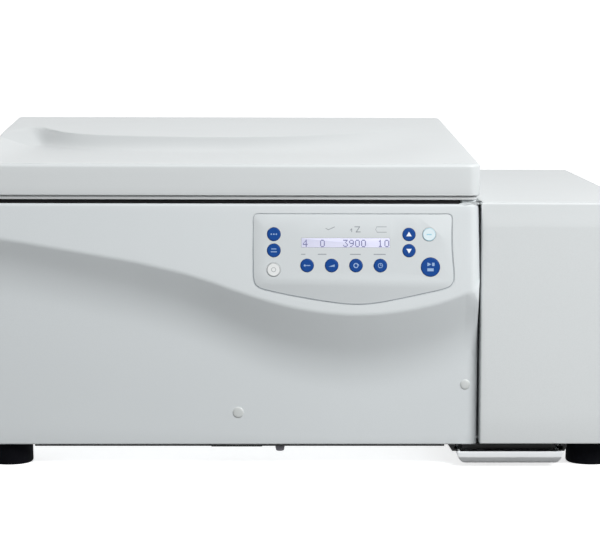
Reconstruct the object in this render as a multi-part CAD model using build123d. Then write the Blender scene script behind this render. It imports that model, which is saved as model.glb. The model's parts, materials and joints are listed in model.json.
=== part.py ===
from build123d import *
import math
import os

os.makedirs("parts", exist_ok=True)

# ---------------------------------------------------------------- driving dimensions (mm)
# Overall: 700 wide (X), 600 deep (Y, front is -Y), 347 high (Z, the feet stand on z = 0).
X_LEFT, X_RIGHT = -350.0, 350.0        # outer faces of the body and of the cooling unit
X_BODY = 184.5                         # right side of the centrifuge body and of its lid
X_UNIT = 185.7                         # left side of the cooling unit housing
Y_PANEL = -292.85                      # front face at the top of the front panel
Y_LOWER = -283.0                       # lower, set-back plane of the front panel
Y_LID_F, Y_LID_R = -295.0, 290.0       # front and rear of the lid
Y_REAR = 288.0                         # rear wall of the housings
Z_BOTTOM = 23.6                        # lower edge of the body's panel and cover
Z_UNIT_BOTTOM = 26.2                   # lower edge of the cooling unit housing
Z_TOP = 279.0                          # top of the body deck
Z_DECK = 276.0                         # underside of the deck
Z_UNIT = 281.0                         # top of the cooling unit
Z_LID = 287.7                          # lower edge of the lid cover
Z_LINER = 283.3                        # underside of the lid liner
Z_LID_TOP = 347.0                      # highest line of the lid, near its rear edge
PANEL_TILT = 6.0                       # backward lean of the upper panel field, degrees
CORNER_R = 12.0                        # upright corners of all housings, in plan
WALL = 3.0                             # moulded wall of the panel

XC, YC = -83.0, 0.0                    # axis of the motor, rotor and chamber
BOWL_R = 192.0                         # inside radius of the rotor chamber
OPEN_R = 190.0                         # opening in the deck
PIVOT_R, PIVOT_Z = 92.0, 212.0         # trunnions of the swing buckets
BUCKET_R, BUCKET_UP, BUCKET_DOWN = 38.0, 25.0, 80.0
PIN_R, PIN_FIT = 5.0, 0.06             # bucket trunnion pins and their running clearance
HINGE_Y, HINGE_Z, HINGE_R = 297.0, 283.0, 8.0
HINGE_X = (XC - 170.0, XC + 170.0)
LATCH_X = (XC - 150.0, XC + 150.0)
FOOT_X, FOOT_Y, FOOT_R = (-312.0, 307.5), 250.0, 25.0
FEET = [(x, y) for x in FOOT_X for y in (-FOOT_Y, FOOT_Y)]
COMP_X, COMP_Y = 268.0, 95.0           # compressor
FAN_X, FAN_Z, FAN_R = 268.0, 150.0, 60.0

TAN = math.tan(math.radians(PANEL_TILT))
COS, SIN = math.cos(math.radians(PANEL_TILT)), math.sin(math.radians(PANEL_TILT))

# the lower edge of the raised panel field: (X, Z) along the sweep
SWEEP = [(-350, 248.0), (-325, 243.6), (-300, 240.0), (-275, 235.8), (-250, 231.6), (-225, 227.3),
         (-200, 223.0), (-175, 218.5), (-150, 212.8), (-125, 206.9), (-100, 199.3), (-75, 190.5),
         (-50, 182.3), (-25, 175.1), (0, 169.7), (25, 166.1), (50, 164.4), (75, 165.0), (100, 167.7),
         (125, 172.3), (150, 179.0), (165, 184.6), (173.2, 188.2), (177.4, 191.4), (181.5, 195.6), (184.5, 202.0)]

# keys: name, X, Z, diameter
KEYS = [
    ("button_left_top", -31.4, 247.6, 13.8),
    ("button_left_middle", -31.4, 230.8, 13.8),
    ("button_lid_open", -31.6, 210.8, 14.0),
    ("button_set_1", 3.3, 215.2, 13.6),
    ("button_set_2", 28.9, 215.2, 13.6),
    ("button_set_3", 54.3, 215.2, 13.6),
    ("button_set_4", 79.8, 215.2, 13.6),
    ("button_up", 109.6, 247.5, 13.3),
    ("button_down", 109.7, 230.7, 13.3),
    ("button_short_spin", 130.7, 247.5, 13.8),
    ("button_start_stop", 132.1, 213.7, 19.6),
]
KEY_PROUD = 0.7                        # how far a key stands out of the overlay
LCD = (-2.7, 89.8, 233.8, 243.8)       # display: X from, to, Z from, to

# outline of the control overlay: (X, Z), clockwise from the upper left
OVERLAY = [(-53.4, 264.8), (-51.9, 267.9), (-48.6, 269.3), (150.6, 269.3), (153.9, 267.9), (155.3, 264.5),
           (155.6, 232.0), (157.6, 205.0), (157.0, 198.5), (153.7, 193.6), (147.5, 190.6), (128.0, 186.0),
           (109.1, 181.9), (93.0, 178.6), (77.0, 175.8), (61.2, 174.3), (45.0, 174.6), (29.2, 176.4),
           (13.0, 178.8), (-2.8, 181.5), (-18.0, 184.3), (-34.7, 187.9), (-45.5, 191.0), (-51.0, 195.0),
           (-53.0, 201.0), (-53.6, 235.8)]


# ---------------------------------------------------------------- small helpers
def bx(x0, x1, y0, y1, z0, z1):
    return Pos((x0 + x1) / 2, (y0 + y1) / 2, (z0 + z1) / 2) * Box(x1 - x0, y1 - y0, z1 - z0)


def cz(x, y, z0, z1, r):
    return Pos(x, y, (z0 + z1) / 2) * Cylinder(r, z1 - z0)


def cx(x0, x1, y, z, r):
    return Pos((x0 + x1) / 2, y, z) * Rot(0, 90, 0) * Cylinder(r, x1 - x0)


def cy(x, y0, y1, z, r):
    return Pos(x, (y0 + y1) / 2, z) * Rot(90, 0, 0) * Cylinder(r, y1 - y0)


def face(points):
    return make_face(Polyline(*points, close=True))


def rev(profile, x=XC, y=YC):
    """Solid of revolution about the upright axis through (x, y), from (radius, z) points."""
    return Pos(x, y, 0) * revolve(face([(r, 0, z) for r, z in profile]), Axis.Z, 360)


def prism(points, vector):
    v = Vector(*vector)
    return extrude(face(points), amount=v.length, dir=v.normalized())


def plate(x0, x1, y0, y1, z0, z1, r):
    """Upright-sided plate with rounded corners in plan."""
    s = Pos((x0 + x1) / 2, (y0 + y1) / 2, z0) * RectangleRounded(x1 - x0, y1 - y0, r)
    return extrude(s, amount=z1 - z0, dir=(0, 0, 1))


def loft(sections):
    return Solid.make_loft([Wire.make_polygon([Vector(*p) for p in s], close=True) for s in sections], ruled=True)


def interp(x, table):
    if x <= table[0][0]:
        return table[0][1]
    for (a, fa), (b, fb) in zip(table, table[1:]):
        if x <= b:
            return fa + (fb - fa) * (x - a) / (b - a)
    return table[-1][1]


def smooth(t):
    t = min(max(t, 0.0), 1.0)
    return t * t * (3 - 2 * t)


def corner(d, r):
    """How far a rounded upright corner of radius r falls back at distance d from the side face."""
    return 0.0 if d >= r else r - math.sqrt(max(r * r - (r - d) ** 2, 0.0))


def flat(shape):
    if isinstance(shape, (list, tuple)):
        out = []
        for s in shape:
            out += flat(s)
        return out
    return list(shape.solids())


def write(name, *shapes):
    solids = flat(shapes)
    export_step(Compound(solids) if len(solids) > 1 else solids[0], f"parts/{name}.step")


def on_panel(x, z, out=0.0):
    """A point on the leaning upper field of the front panel, out mm in front of it."""
    return (x, Y_PANEL - (Z_TOP - z) * TAN - out * COS, z + out * SIN)


OUT = (0.0, -COS, SIN)                 # direction that the upper field faces


def slab(points, a, b):
    """Prism on the panel field from out = a to out = b, from (X, Z) points."""
    d = b - a
    return prism([on_panel(x, z, a) for x, z in points], (OUT[0] * d, OUT[1] * d, OUT[2] * d))


def disc(x, z, a, b, r):
    """Round peg square to the panel field, from out = a to out = b."""
    p = on_panel(x, z, a)
    return Plane(origin=p, z_dir=OUT) * (Pos(0, 0, (b - a) / 2) * Cylinder(r, b - a))


def rect(x0, x1, z0, z1):
    return [(x0, z0), (x1, z0), (x1, z1), (x0, z1)]


def inset(points, d):
    """Outline moved inwards by d (each corner along its bisector)."""
    n = len(points)
    area = sum(points[i][0] * points[(i + 1) % n][1] - points[(i + 1) % n][0] * points[i][1] for i in range(n))
    s = 1 if area > 0 else -1
    out = []
    for i in range(n):
        (x0, z0), (x1, z1), (x2, z2) = points[i - 1], points[i], points[(i + 1) % n]
        a = math.hypot(x1 - x0, z1 - z0)
        b = math.hypot(x2 - x1, z2 - z1)
        n1 = (-(z1 - z0) / a * s, (x1 - x0) / a * s)
        n2 = (-(z2 - z1) / b * s, (x2 - x1) / b * s)
        k = 1 + n1[0] * n2[0] + n1[1] * n2[1]
        out.append((x1 + d * (n1[0] + n2[0]) / k, z1 + d * (n1[1] + n2[1]) / k))
    return out


# ---------------------------------------------------------------- front panel
BLEND_R = 140.0                        # hollow under the sweep, where it runs into the lower plane
BLEND_A = math.radians(20.0)


def panel_profile(x, top, back, bottom, shift, c, cl):
    """Section of the panel at x: (y, z) points from the back of the top edge round to the back of the bottom.
    c and cl: how far the upright corner falls back, on the raised field and below it."""
    ze = interp(x, SWEEP)
    ye = Y_PANEL - (Z_TOP - ze) * TAN
    depth = Y_LOWER - ye
    straight = max((depth - BLEND_R * (1 - math.cos(BLEND_A))) / math.tan(BLEND_A), 0.5)
    run = BLEND_R * math.sin(BLEND_A)
    pts = [(back, top)]
    r = 3.0 if shift == 0 else 0.8
    yt = Y_PANEL - (Z_TOP - top) * TAN
    pts += [(yt + r, top), (yt + 0.3 * r, top - 0.3 * r), (yt - r * TAN, top - r)]
    pts += [(ye, ze)]
    for k in range(5):
        a = run * k / 4
        pts.append((Y_LOWER - (BLEND_R - math.sqrt(BLEND_R ** 2 - (run - a) ** 2)), ze - straight - a))
    pts += [(Y_LOWER, bottom), (back, bottom)]
    out = []
    for i, (y, z) in enumerate(pts):
        if i in (0, len(pts) - 1):
            out.append((x, back, z))
        else:
            out.append((x, min(y + shift + (c if i < 5 else cl), back - 0.5), z))
    return out


def panel_sections(x0, x1, r, rl, top, back, bottom, shift):
    """Below the raised field the right corner is a sharper one, of radius rl."""
    xs = sorted(set([x0 + d for d in (0, 0.5, 1.8, 4, 7.5, r)] + [x1 - d for d in (0, 0.5, 1.0, 1.8, 3.0, 4.5, 7.5, r)]
                    + [x for x, _ in SWEEP if x0 + r < x < x1 - r]))
    return [panel_profile(x, top, back, bottom, shift, max(corner(x - x0, r), corner(x1 - x, r)),
                          max(corner(x - x0, r), corner(x1 - x, rl))) for x in xs]


panel = loft(panel_sections(X_LEFT, X_BODY, CORNER_R, 3.0, Z_TOP, -262.0, Z_BOTTOM, 0.0))
panel_in = loft(panel_sections(X_LEFT + WALL, X_BODY - WALL, CORNER_R - WALL, 1.0, Z_TOP - WALL, -255.0, 15.0, WALL))
tools = [panel_in, slab(OVERLAY, -0.8, 1.0), slab(rect(LCD[0] - 0.3, LCD[1] + 0.3, LCD[2] - 0.3, LCD[3] + 0.3), -8, 1)]
tools += [disc(x, z, -8, 1, d / 2 + 0.45) for _, x, z, d in KEYS]
PLUGS = [(-68.3, 57.7, 5.9), (171.0, 87.6, 5.4)]
tools += [cy(x, -300, -270, z, r - 1.2) for x, z, r in PLUGS]
# slots for the lid strikers in the top flange, and the corner that the base plate passes through
tools += [bx(x - 8, x + 8, -276, -248, 270, 290) for x in LATCH_X] + [bx(180.9, 190, -270.2, -250, 10, 31.1)]
# a raised corner at the right closes the gap under the lid
block = plate(164.6, 180.6, -288.0, -266.0, Z_TOP - 1.0, Z_TOP + 4.0, 2.5)
front_panel = (panel - tools) + block
write("front_panel", front_panel)

plugs = []
for x, z, r in PLUGS:
    plugs.append(cy(x, -284.0, -283.0, z, r) + cy(x, -283.0, -276.0, z, r - 1.4))
write("blind_plugs", plugs)

overlay = slab(inset(OVERLAY, 0.45), -0.8, 0.0) - (
    [disc(x, z, -2, 1, d / 2 + 0.4) for _, x, z, d in KEYS]
    + [slab(rect(*LCD), -2, 1)])
write("control_overlay", overlay)

lcd = slab(rect(LCD[0] + 0.15, LCD[1] - 0.15, LCD[2] + 0.15, LCD[3] - 0.15), -3.2, -0.2) \
    + slab(rect(-11, 97, 224.9, 254.6), -8.6, -3.2)
write("display_module", lcd)

board = [slab(rect(-50, 152, 192.0, 266.0), -11.8, -10.2)]
for _, x, z, d in KEYS:
    board.append(slab(rect(x - 3, x + 3, z - 3, z + 3), -10.2, -8.4))
for x, z in ((-46, 262), (148, 262), (-46, 197), (146, 199)):
    board.append(disc(x, z, -10.2, -3.0, 3.0))
board.append(slab(rect(20, 34, 226, 240), -13.8, -11.8))
board.append(slab(rect(60, 84, 228, 238), -13.8, -11.8))
board.append(slab(rect(-40, -20, 210, 225), -19.8, -11.8))
base = board[0]
for b in board[1:]:
    base = base + b
write("control_board", base)

for name, x, z, d in KEYS:
    r = d / 2
    key = disc(x, z, -3.2, KEY_PROUD - 0.35, r) + Plane(origin=on_panel(x, z, KEY_PROUD - 0.35), z_dir=OUT) * (
        Pos(0, 0, 0.175) * Cone(r, r - 0.8, 0.35))
    key = key + disc(x, z, -4.2, -3.2, r + 1.2) + disc(x, z, -7.2, -4.2, 2.0)
    write(name, key)

# ---------------------------------------------------------------- chassis
base = plate(-346, 346, -279, 284, 28.0, 31.0, 8.0)
wall = bx(X_BODY + 0.2, X_UNIT - 0.2, -268, 283, 31.0, 273.0)
pipe_holes = [cx(110, 200, y, z, 6.0) for y, z in ((40, 120), (68, 120))]
base_plate = (base + wall) - (
    [cz(x, y, 20, 40, 3.2) for x, y in FEET]
    + [cz(-24, -268, 20, 40, 2.9), cz(XC, YC, 20, 40, 30.0)]
    + [cz(XC + 86 * math.cos(a), 86 * math.sin(a), 20, 40, 4.2) for a in (math.pi / 4 * k for k in (1, 3, 5, 7))]
    + [cz(215, -150, 20, 40, 6.5)]
    + [bx(220 + 12 * i, 226 + 12 * i, 60, 150, 20, 40) for i in range(9)] + pipe_holes + [cx(170, 200, -150, 50, 6.0), bx(169, 189, -290, -270, 20, 40)])
write("base_plate", base_plate)

feet = []
for x, y in FEET:
    feet.append(rev([(4.0, 8.0), (9.0, 8.0), (9.0, 0.0), (22.2, 0.0), (23.7, 0.6), (24.7, 1.8), (FOOT_R, 3.4),
                     (FOOT_R - 0.6, 28.0), (4.0, 28.0)], x, y))
write("rubber_feet", feet)

REAR_SCREWS = [(-335, 262), (-165, 262), (0, 262), (165, 262), (-165, 42), (0, 42), (165, 42)]
GRILLE_SCREWS = [(198, 264), (338, 264), (198, 42), (338, 42)]
screws = []
for x, y in FEET:
    screws.append(cz(x, y, 3.5, 8.0, 6.5) + cz(x, y, 8.0, 36.0, 3.0) + cz(x, y, 31.0, 36.0, 5.5))
for x, z in REAR_SCREWS + GRILLE_SCREWS:
    screws.append(cy(x, Y_REAR, Y_REAR + 2.2, z, 4.0) + cy(x, Y_REAR - 9, Y_REAR, z, 2.0))
write("chassis_screws", screws)

# ---------------------------------------------------------------- housing cover of the body (left side and back)
outer = plate(X_LEFT, X_BODY + 40, -290, Y_REAR, Z_BOTTOM, 275.6, CORNER_R)
inner = plate(X_LEFT + 2, X_BODY + 60, -300, Y_REAR - 2, 20, 290, CORNER_R - 2)
cover = (outer - inner) & bx(X_LEFT - 1, X_BODY, -262, Y_REAR + 1, 0, 300)
vents = [bx(-352, -345, -60 + 16 * i, -54 + 16 * i, 60, 120) for i in range(14)]
ENTRY = (-336.0, -252.0, 44.0, 82.0)   # power entry module: X from, to, Z from, to
cover = cover - (vents + [bx(ENTRY[0] + 4, ENTRY[1] - 4, 280, 292, ENTRY[2] + 4, ENTRY[3] - 4)]
                 + [cy(x, 280, 292, z, 2.2) for x, z in REAR_SCREWS]
                 + [cy(hx + s, 280, 292, z, 2.7) for hx in HINGE_X for s in (-15, 15) for z in (242, 258)])
write("housing_cover", cover)

# top deck, closed by the lid
deck = plate(X_LEFT, X_BODY, -289.0, Y_REAR, Z_DECK, Z_TOP, CORNER_R - 2)
deck = deck - ([cz(XC, YC, 270, 290, OPEN_R)] + [bx(x - 8, x + 8, -276, -248, 270, 290) for x in LATCH_X])
# the panel's own top flange takes the front strip
deck = deck - [bx(-360, 200, -300, -261.8, 270, 290)]
write("top_deck", deck)

# seals: ring round the chamber opening and a strip along the front edge, its right end round
gasket = rev([(OPEN_R + 0.6, Z_TOP), (OPEN_R + 11, Z_TOP), (OPEN_R + 10, Z_TOP + 2.5), (OPEN_R + 7, Z_TOP + 3.8),
              (OPEN_R + 3.5, Z_TOP + 4.0), (OPEN_R + 1.2, Z_TOP + 2.7)])
strip = plate(-340, 163.5, -288.6, -284.6, Z_TOP, Z_TOP + 4.0, 1.9)
write("lid_seals", gasket, strip)

# ---------------------------------------------------------------- rotor chamber and what surrounds it
bowl = rev([(31.0, 139.0), (35.2, 139.0), (40.6, 100.4), (49.6, 92.5), (170.6, 92.5), (187.2, 98.8), (BOWL_R + 1.5, 113.4),
            (BOWL_R + 1.5, 274.0), (214.0, 274.0), (214.0, 275.5), (BOWL_R, 275.5), (BOWL_R, 114.2), (186.0, 100.2),
            (170.0, 94.0), (50.2, 94.0), (42.0, 101.2), (36.4, 140.5), (31.0, 140.5)])
bowl = bowl - cz(XC + 120, -110, 80, 100, 4.0)
write("rotor_chamber", bowl)

coils = []
for i in range(8):
    coils.append(Pos(XC, YC, 122 + 19 * i) * Torus(BOWL_R + 1.5 + 4.3, 4.0))
write("evaporator_coil", coils)

foam = rev([(46.0, 80.0), (221.0, 80.0), (221.0, 272.0), (203.0, 272.0), (203.0, 92.0), (46.0, 92.0)])
foam = foam - ([cz(XC + 120, -110, 70, 100, 6.0)] + pipe_holes)
write("chamber_insulation", foam)

armour = rev([(222.0, 60.0), (228.0, 60.0), (228.0, 272.0), (222.0, 272.0)]) - pipe_holes
write("armour_ring", armour)

# motor: housing with flange and neck, bearings, rubber mounts
housing = rev([(62.0, 36.0), (70.0, 36.0), (70.0, 44.0), (96.0, 44.0), (96.0, 49.0), (70.0, 49.0), (70.0, 78.0),
               (34.0, 78.0), (29.0, 134.0), (21.0, 134.0), (21.0, 120.0), (18.0, 118.0), (18.0, 70.0), (62.0, 70.0)])
MOUNT_A = [math.pi / 4 * k for k in (1, 3, 5, 7)]
housing = housing - [cz(XC + 86 * math.cos(a), 86 * math.sin(a), 30, 60, 4.2) for a in MOUNT_A]
write("motor_housing", housing, rev([(21.0, 36.2), (62.0, 36.2), (62.0, 41.0), (30.0, 41.0), (30.0, 48.0), (21.0, 48.0)]))

bearings = []
for z0 in (36.5, 120.2):
    bearings.append(rev([(12.0 + 0.05, z0), (15.0, z0), (15.0, z0 + 11), (12.05, z0 + 11)]))
    bearings.append(rev([(18.0, z0), (20.95, z0), (20.95, z0 + 11), (18.0, z0 + 11)]))
    for k in range(9):
        a = 2 * math.pi * k / 9
        bearings.append(Pos(XC + 16.5 * math.cos(a), 16.5 * math.sin(a), z0 + 5.5) * Sphere(1.45))
write("motor_bearings", bearings)

mounts = []
for a in MOUNT_A:
    x, y = XC + 86 * math.cos(a), 86 * math.sin(a)
    mounts.append(rev([(4.3, 31.0), (10.0, 31.0), (11.5, 34.0), (9.0, 37.5), (11.5, 41.0), (10.0, 44.0), (4.3, 44.0)], x, y))
    mounts.append(rev([(4.3, 49.0), (9.5, 49.0), (9.5, 54.0), (4.3, 54.0)], x, y))
write("motor_mounts", mounts)

# ---------------------------------------------------------------- rotor
shaft = rev([(0, 37.0), (12.0, 37.0), (12.0, 132.0), (9.9, 136.0), (9.9, 236.0), (0, 236.0)])
armature = rev([(12.0, 52.0), (52.0, 52.0), (52.0, 66.0), (12.0, 66.0)])
write("drive_shaft", shaft + armature)

hub = rev([(9.9, 150.0), (34.0, 150.0), (34.0, 158.0), (27.0, 166.0), (27.0, 196.0), (34.0, 203.0), (34.0, 226.0),
           (27.0, 236.0), (9.9, 236.0)])
head = hub
for k in range(4):
    rot = Pos(XC, YC, 0) * Rot(0, 0, 45 + 90 * k)
    # arm, along its own radius, tapering in height
    arm = prism([(24, -9, 203), (74, -9, 206), (74, -9, 222), (24, -9, 225)], (0, 18, 0))
    head = head + rot * arm
    # yoke head between two neighbouring buckets
    quad = Pos(XC, YC, 0) * Rot(0, 0, 90 * k) * (
        (bx(44.5, 112, 44.5, 112, 199, 224) & cz(0, 0, 190, 230, 119)))
    head = head + quad
pins = []
for k in range(4):
    rot = Pos(XC, YC, 0) * Rot(0, 0, 90 * k)
    for s in (-1, 1):
        y0, y1 = (39.4, 46.0) if s > 0 else (-46.0, -39.4)
        head = head + rot * cy(PIVOT_R, y0, y1, PIVOT_Z, PIN_R)
write("rotor_head", head)

nut = rev([(0, 236.0), (15.0, 236.0), (15.0, 240.0), (19.0, 242.0), (19.0, 256.0), (16.5, 258.5), (6.0, 258.5), (6.0, 255.0), (0, 255.0)])
nut = nut - [cz(XC + 20.2 * math.cos(2 * math.pi * k / 12), 20.2 * math.sin(2 * math.pi * k / 12), 238, 262, 2.4) for k in range(12)]
write("rotor_nut", nut)

bot = PIVOT_Z - BUCKET_DOWN
top = PIVOT_Z + BUCKET_UP
cup = revolve(face([(0, 0, bot), (24, 0, bot), (32, 0, bot + 2.5), (BUCKET_R - 1, 0, bot + 9), (BUCKET_R - 0.4, 0, top - 7),
                    (BUCKET_R, 0, top - 6.5), (BUCKET_R, 0, top), (BUCKET_R - 3, 0, top), (BUCKET_R - 3, 0, bot + 12),
                    (30.5, 0, bot + 5), (23, 0, bot + 3), (0, 0, bot + 3)]), Axis.Z, 360)
boss = cy(0, -43.0, 43.0, PIVOT_Z, 10.0) - cz(0, 0, bot, top + 20, BUCKET_R - 1.6)
cup = cup + boss
cup = cup - [cy(0, -60, -39.0, PIVOT_Z, PIN_R + PIN_FIT), cy(0, 39.0, 60, PIVOT_Z, PIN_R + PIN_FIT)]
for k in range(4):
    write(f"bucket_{k + 1}", Pos(XC, YC, 0) * Rot(0, 0, 90 * k) * Pos(PIVOT_R, 0, 0) * cup)

# ---------------------------------------------------------------- cooling unit
def unit_sections(x0, x1, rl, rr, shift, top, back, bottom, edge):
    xs = sorted(set([x0 + d for d in (0, 0.2 * rl, 0.5 * rl, rl)] + [x1 - d for d in (0, 0.5, 1.8, 4, 7.5, rr)]))
    out = []
    for x in xs:
        c = max(corner(x - x0, rl), corner(x1 - x, rr))
        e = max(corner(x1 - x, edge), corner(x - x0, min(rl, edge)))
        pts = [(back, top - e), (-289.4 + shift + c, top - e), (-291.3 + shift + c, top - e - 0.6),
               (-292.1 + shift + c, top - e - 2.2), (-295.0 + shift + c, 256.0), (-295.0 + shift + c, 254.0),
               (-295.0 + shift + c, bottom), (back, bottom)]
        out.append([(x, y, z) for y, z in pts])
    return out


unit = loft(unit_sections(X_UNIT, X_RIGHT, 2.0, CORNER_R, 0.0, Z_UNIT, Y_REAR, Z_UNIT_BOTTOM, 4.5))
unit_in = loft(unit_sections(X_UNIT + 2, X_RIGHT - 2, 1.0, CORNER_R - 2, 2.0, Z_UNIT - 2, Y_REAR + 20, 10.0, 2.5))
louvres = [bx(346, 352, y0, y0 + 70, z0, z0 + 5) for y0 in (-60, 40, 140) for z0 in range(60, 200, 14)]
# the base plate, the pipes and the drain pass through the inner side wall
unit_cover = unit - ([unit_in] + louvres + [bx(185.0, 188.2, -281, 292, 10, 31.1), cx(180, 195, -150, 50, 6.0)] + pipe_holes)
write("cooling_unit_cover", unit_cover)

grille = bx(X_UNIT + 2.3, X_RIGHT - 3.2, Y_REAR - 2.0, Y_REAR, 31.2, 273.6)
grille = grille - ([bx(208, 264, 280, 292, z0, z0 + 5) for z0 in range(58, 250, 11)]
                   + [bx(272, 328, 280, 292, z0, z0 + 5) for z0 in range(58, 250, 11)]
                   + [cy(x, 280, 292, z, 2.2) for x, z in GRILLE_SCREWS])
write("rear_grille", grille)

compressor = rev([(0, 40), (40, 40), (54, 46), (60, 60), (60, 104), (61.5, 106), (61.5, 112), (60, 114), (60, 158), (54, 174),
                  (38, 184), (0, 188)], COMP_X, COMP_Y)
compressor = compressor + bx(COMP_X - 66, COMP_X + 66, COMP_Y - 16, COMP_Y + 16, 37.5, 41.0) \
    + bx(COMP_X - 16, COMP_X + 16, COMP_Y - 72, COMP_Y - 50, 100, 150) \
    + cz(COMP_X + 30, COMP_Y + 20, 170, 200, 4.0)
rubber_pads = [cz(COMP_X + s * 60, COMP_Y + t * 10, 31.0, 37.5, 5.5) for s in (-1, 1) for t in (-1, 1)]
write("compressor", compressor, rubber_pads)

cond = bx(204, 334, 256, 278, 44, 258)
for i in range(7):
    z0 = 60 + 28 * i
    for x, s in ((204, -1), (334, 1)):
        z1 = z0 if s < 0 else z0 + 14
        ring = Pos(x, 267, z1 + 7 - (0 if s > 0 else 0)) * Rot(90, 0, 0) * Torus(7.0, 3.0)
        half = bx(x - 20, x, 250, 280, z1 - 10, z1 + 30) if s < 0 else bx(x, x + 20, 250, 280, z1 - 10, z1 + 30)
        cond = cond + (ring & half)
write("condenser", cond)

shroud = bx(200, 338, 250, 254, 40, 262) - cy(FAN_X, 240, 260, FAN_Z, FAN_R + 5)
shroud = shroud + (cy(FAN_X, 226, 250, FAN_Z, FAN_R + 8) - cy(FAN_X, 220, 260, FAN_Z, FAN_R + 5))
shroud = shroud + (cy(FAN_X, 190, 216, FAN_Z, 22) - cy(FAN_X, 180, 230, FAN_Z, 3.06))
for a in (45, 135, 225, 315):
    ca, sa = math.cos(math.radians(a)), math.sin(math.radians(a))
    p0 = (FAN_X + 18 * ca, 203.0, FAN_Z + 18 * sa)
    strut = Pos(FAN_X, 0, FAN_Z) * Rot(0, -a, 0) * bx(20, FAN_R + 7, 200, 206, -3, 3)
    leg = Pos(FAN_X, 0, FAN_Z) * Rot(0, -a, 0) * bx(FAN_R + 5.4, FAN_R + 7.8, 200, 230, -3, 3)
    shroud = shroud + strut + leg
write("fan_shroud", shroud)

fan = cy(FAN_X, 222, 246, FAN_Z, 20) + cy(FAN_X, 192, 246, FAN_Z, 3.0)
for k in range(5):
    blade = Pos(FAN_X, 234, FAN_Z) * Rot(0, 72 * k, 0) * Pos(38, 0, 0) * Rot(32, 0, 0) * Box(42, 2.4, 26)
    fan = fan + blade
fan = fan & cy(FAN_X, 180, 248, FAN_Z, FAN_R)
write("condenser_fan", fan)


def tube(points, r, radii=None):
    path = FilletPolyline(*points, radius=radii if radii else 14.0)
    line = path.wire() if hasattr(path, "wire") else path
    start = Plane(origin=line @ 0, z_dir=line % 0)
    return sweep(start * Circle(r), path=line)


pipes = [
    tube([(COMP_X + 30, COMP_Y + 20, 200.2), (COMP_X + 30, COMP_Y + 20, 232), (COMP_X + 30, 236, 232), (COMP_X + 30, 236, 268),
          (COMP_X + 30, 268, 268), (COMP_X + 30, 268, 258.2)], 4.0, 9.0),
    tube([(120, 40, 120), (200, 40, 120), (200, 40, 210), (244, 40, 210), (244, 80, 210), (244, 80, 186.4)], 4.5, 12.0),
    tube([(120, 68, 120), (194, 68, 120), (194, 68, 236), (194, 240, 236), (212, 240, 236)], 3.0, 8.0),
]
write("refrigerant_pipes", pipes)

drain = tube([(XC + 120, -110, 92.0), (XC + 120, -110, 50), (XC + 120, -150, 50), (215, -150, 50), (215, -150, 24.5)], 4.0, 12.0)
write("drain_tube", drain)

# ---------------------------------------------------------------- electrics
entry = bx(ENTRY[0], ENTRY[1], Y_REAR, Y_REAR + 2.4, ENTRY[2], ENTRY[3]) \
    + bx(ENTRY[0] + 4.4, ENTRY[1] - 4.4, 258, Y_REAR, ENTRY[2] + 4.4, ENTRY[3] - 4.4)
IN_X, SW_X, EZ = -314.0, -271.0, 63.0
hexa = [(IN_X - 12.3, EZ - 8.2), (IN_X + 12.3, EZ - 8.2), (IN_X + 12.3, EZ + 4.2), (IN_X + 8.3, EZ + 8.2),
        (IN_X - 8.3, EZ + 8.2), (IN_X - 12.3, EZ + 4.2)]
socket = prism([(x, 273.0, z) for x, z in hexa], (0, 20, 0))
entry = entry - [socket, bx(SW_X - 9.0, SW_X + 9.0, 268, 295, EZ - 12.2, EZ + 12.2)]
for dx in (-7, 0, 7):
    dz = 2.2 if dx == 0 else -1.8
    entry = entry + bx(IN_X + dx - 1, IN_X + dx + 1, 272.0, 285.0, EZ + dz - 2, EZ + dz + 2)
entry = entry + (cx(SW_X - 9.5, SW_X - 7.9, 282.0, EZ, 2.0)) + (cx(SW_X + 7.9, SW_X + 9.5, 282.0, EZ, 2.0))
write("power_entry", entry)

rocker = prism([(SW_X - 8.4, y, z) for y, z in ((275.5, EZ - 4), (282.0, EZ - 9.6), (290.4, EZ - 10.0), (289.0, EZ),
                                               (290.4, EZ + 10.0), (282.0, EZ + 9.6), (275.5, EZ + 4))], (16.8, 0, 0))
rocker = rocker - [cx(SW_X - 12, SW_X - 7.8, 282.0, EZ, 2.06), cx(SW_X + 7.8, SW_X + 12, 282.0, EZ, 2.06)]
rocker = Pos(0, 282.0, EZ) * Rot(-8, 0, 0) * Pos(0, -282.0, -EZ) * rocker
write("power_switch", rocker)

supply = bx(-342, -284, 146, 222, 31.0, 146.0) + bx(-338, -288, 150, 218, 146.0, 150.0)
drive = bx(-342, -290, -236, -168, 31.0, 120.0)
for i in range(8):
    drive = drive + bx(-340 + 6.5 * i, -337.5 + 6.5 * i, -234, -170, 120.0, 140.0)
write("power_electronics", supply, drive)

# ---------------------------------------------------------------- drip tray and its runners, under the cooling unit
TY0, TY1 = -291.0, -92.0
TRAY_FRONT = 17.2                      # top of the tray's front wall


def tray_block(k, z0, y_in):
    """Tray outline, moved inwards by k, from z0 up, in y from TY0 + y_in to TY1 - y_in."""
    pts = [(171.4 + k, z0), (266.9 - k, z0), (270.4 - k, 7.6), (273.5 - k, 15.4), (272.0 - k, 15.4), (272.0 - k, 20.6 + k),
           (164.4 + k, 20.6 + k), (164.4 + k, 15.4), (162.8 + k, 15.4), (166.0 + k, 7.6)]
    return prism([(x, TY0 + y_in, z) for x, z in pts], (0, TY1 - TY0 - 2 * y_in, 0))


tray = tray_block(0.0, 4.5, 0.0) + prism([(x, TY0, z) for x, z in (
    (162.0, TRAY_FRONT), (164.2, 10.2), (167.0, 6.6), (171.4, 4.5), (266.9, 4.5), (270.4, 6.6), (273.2, 10.2), (275.0, TRAY_FRONT))], (0, 2.0, 0))
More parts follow.
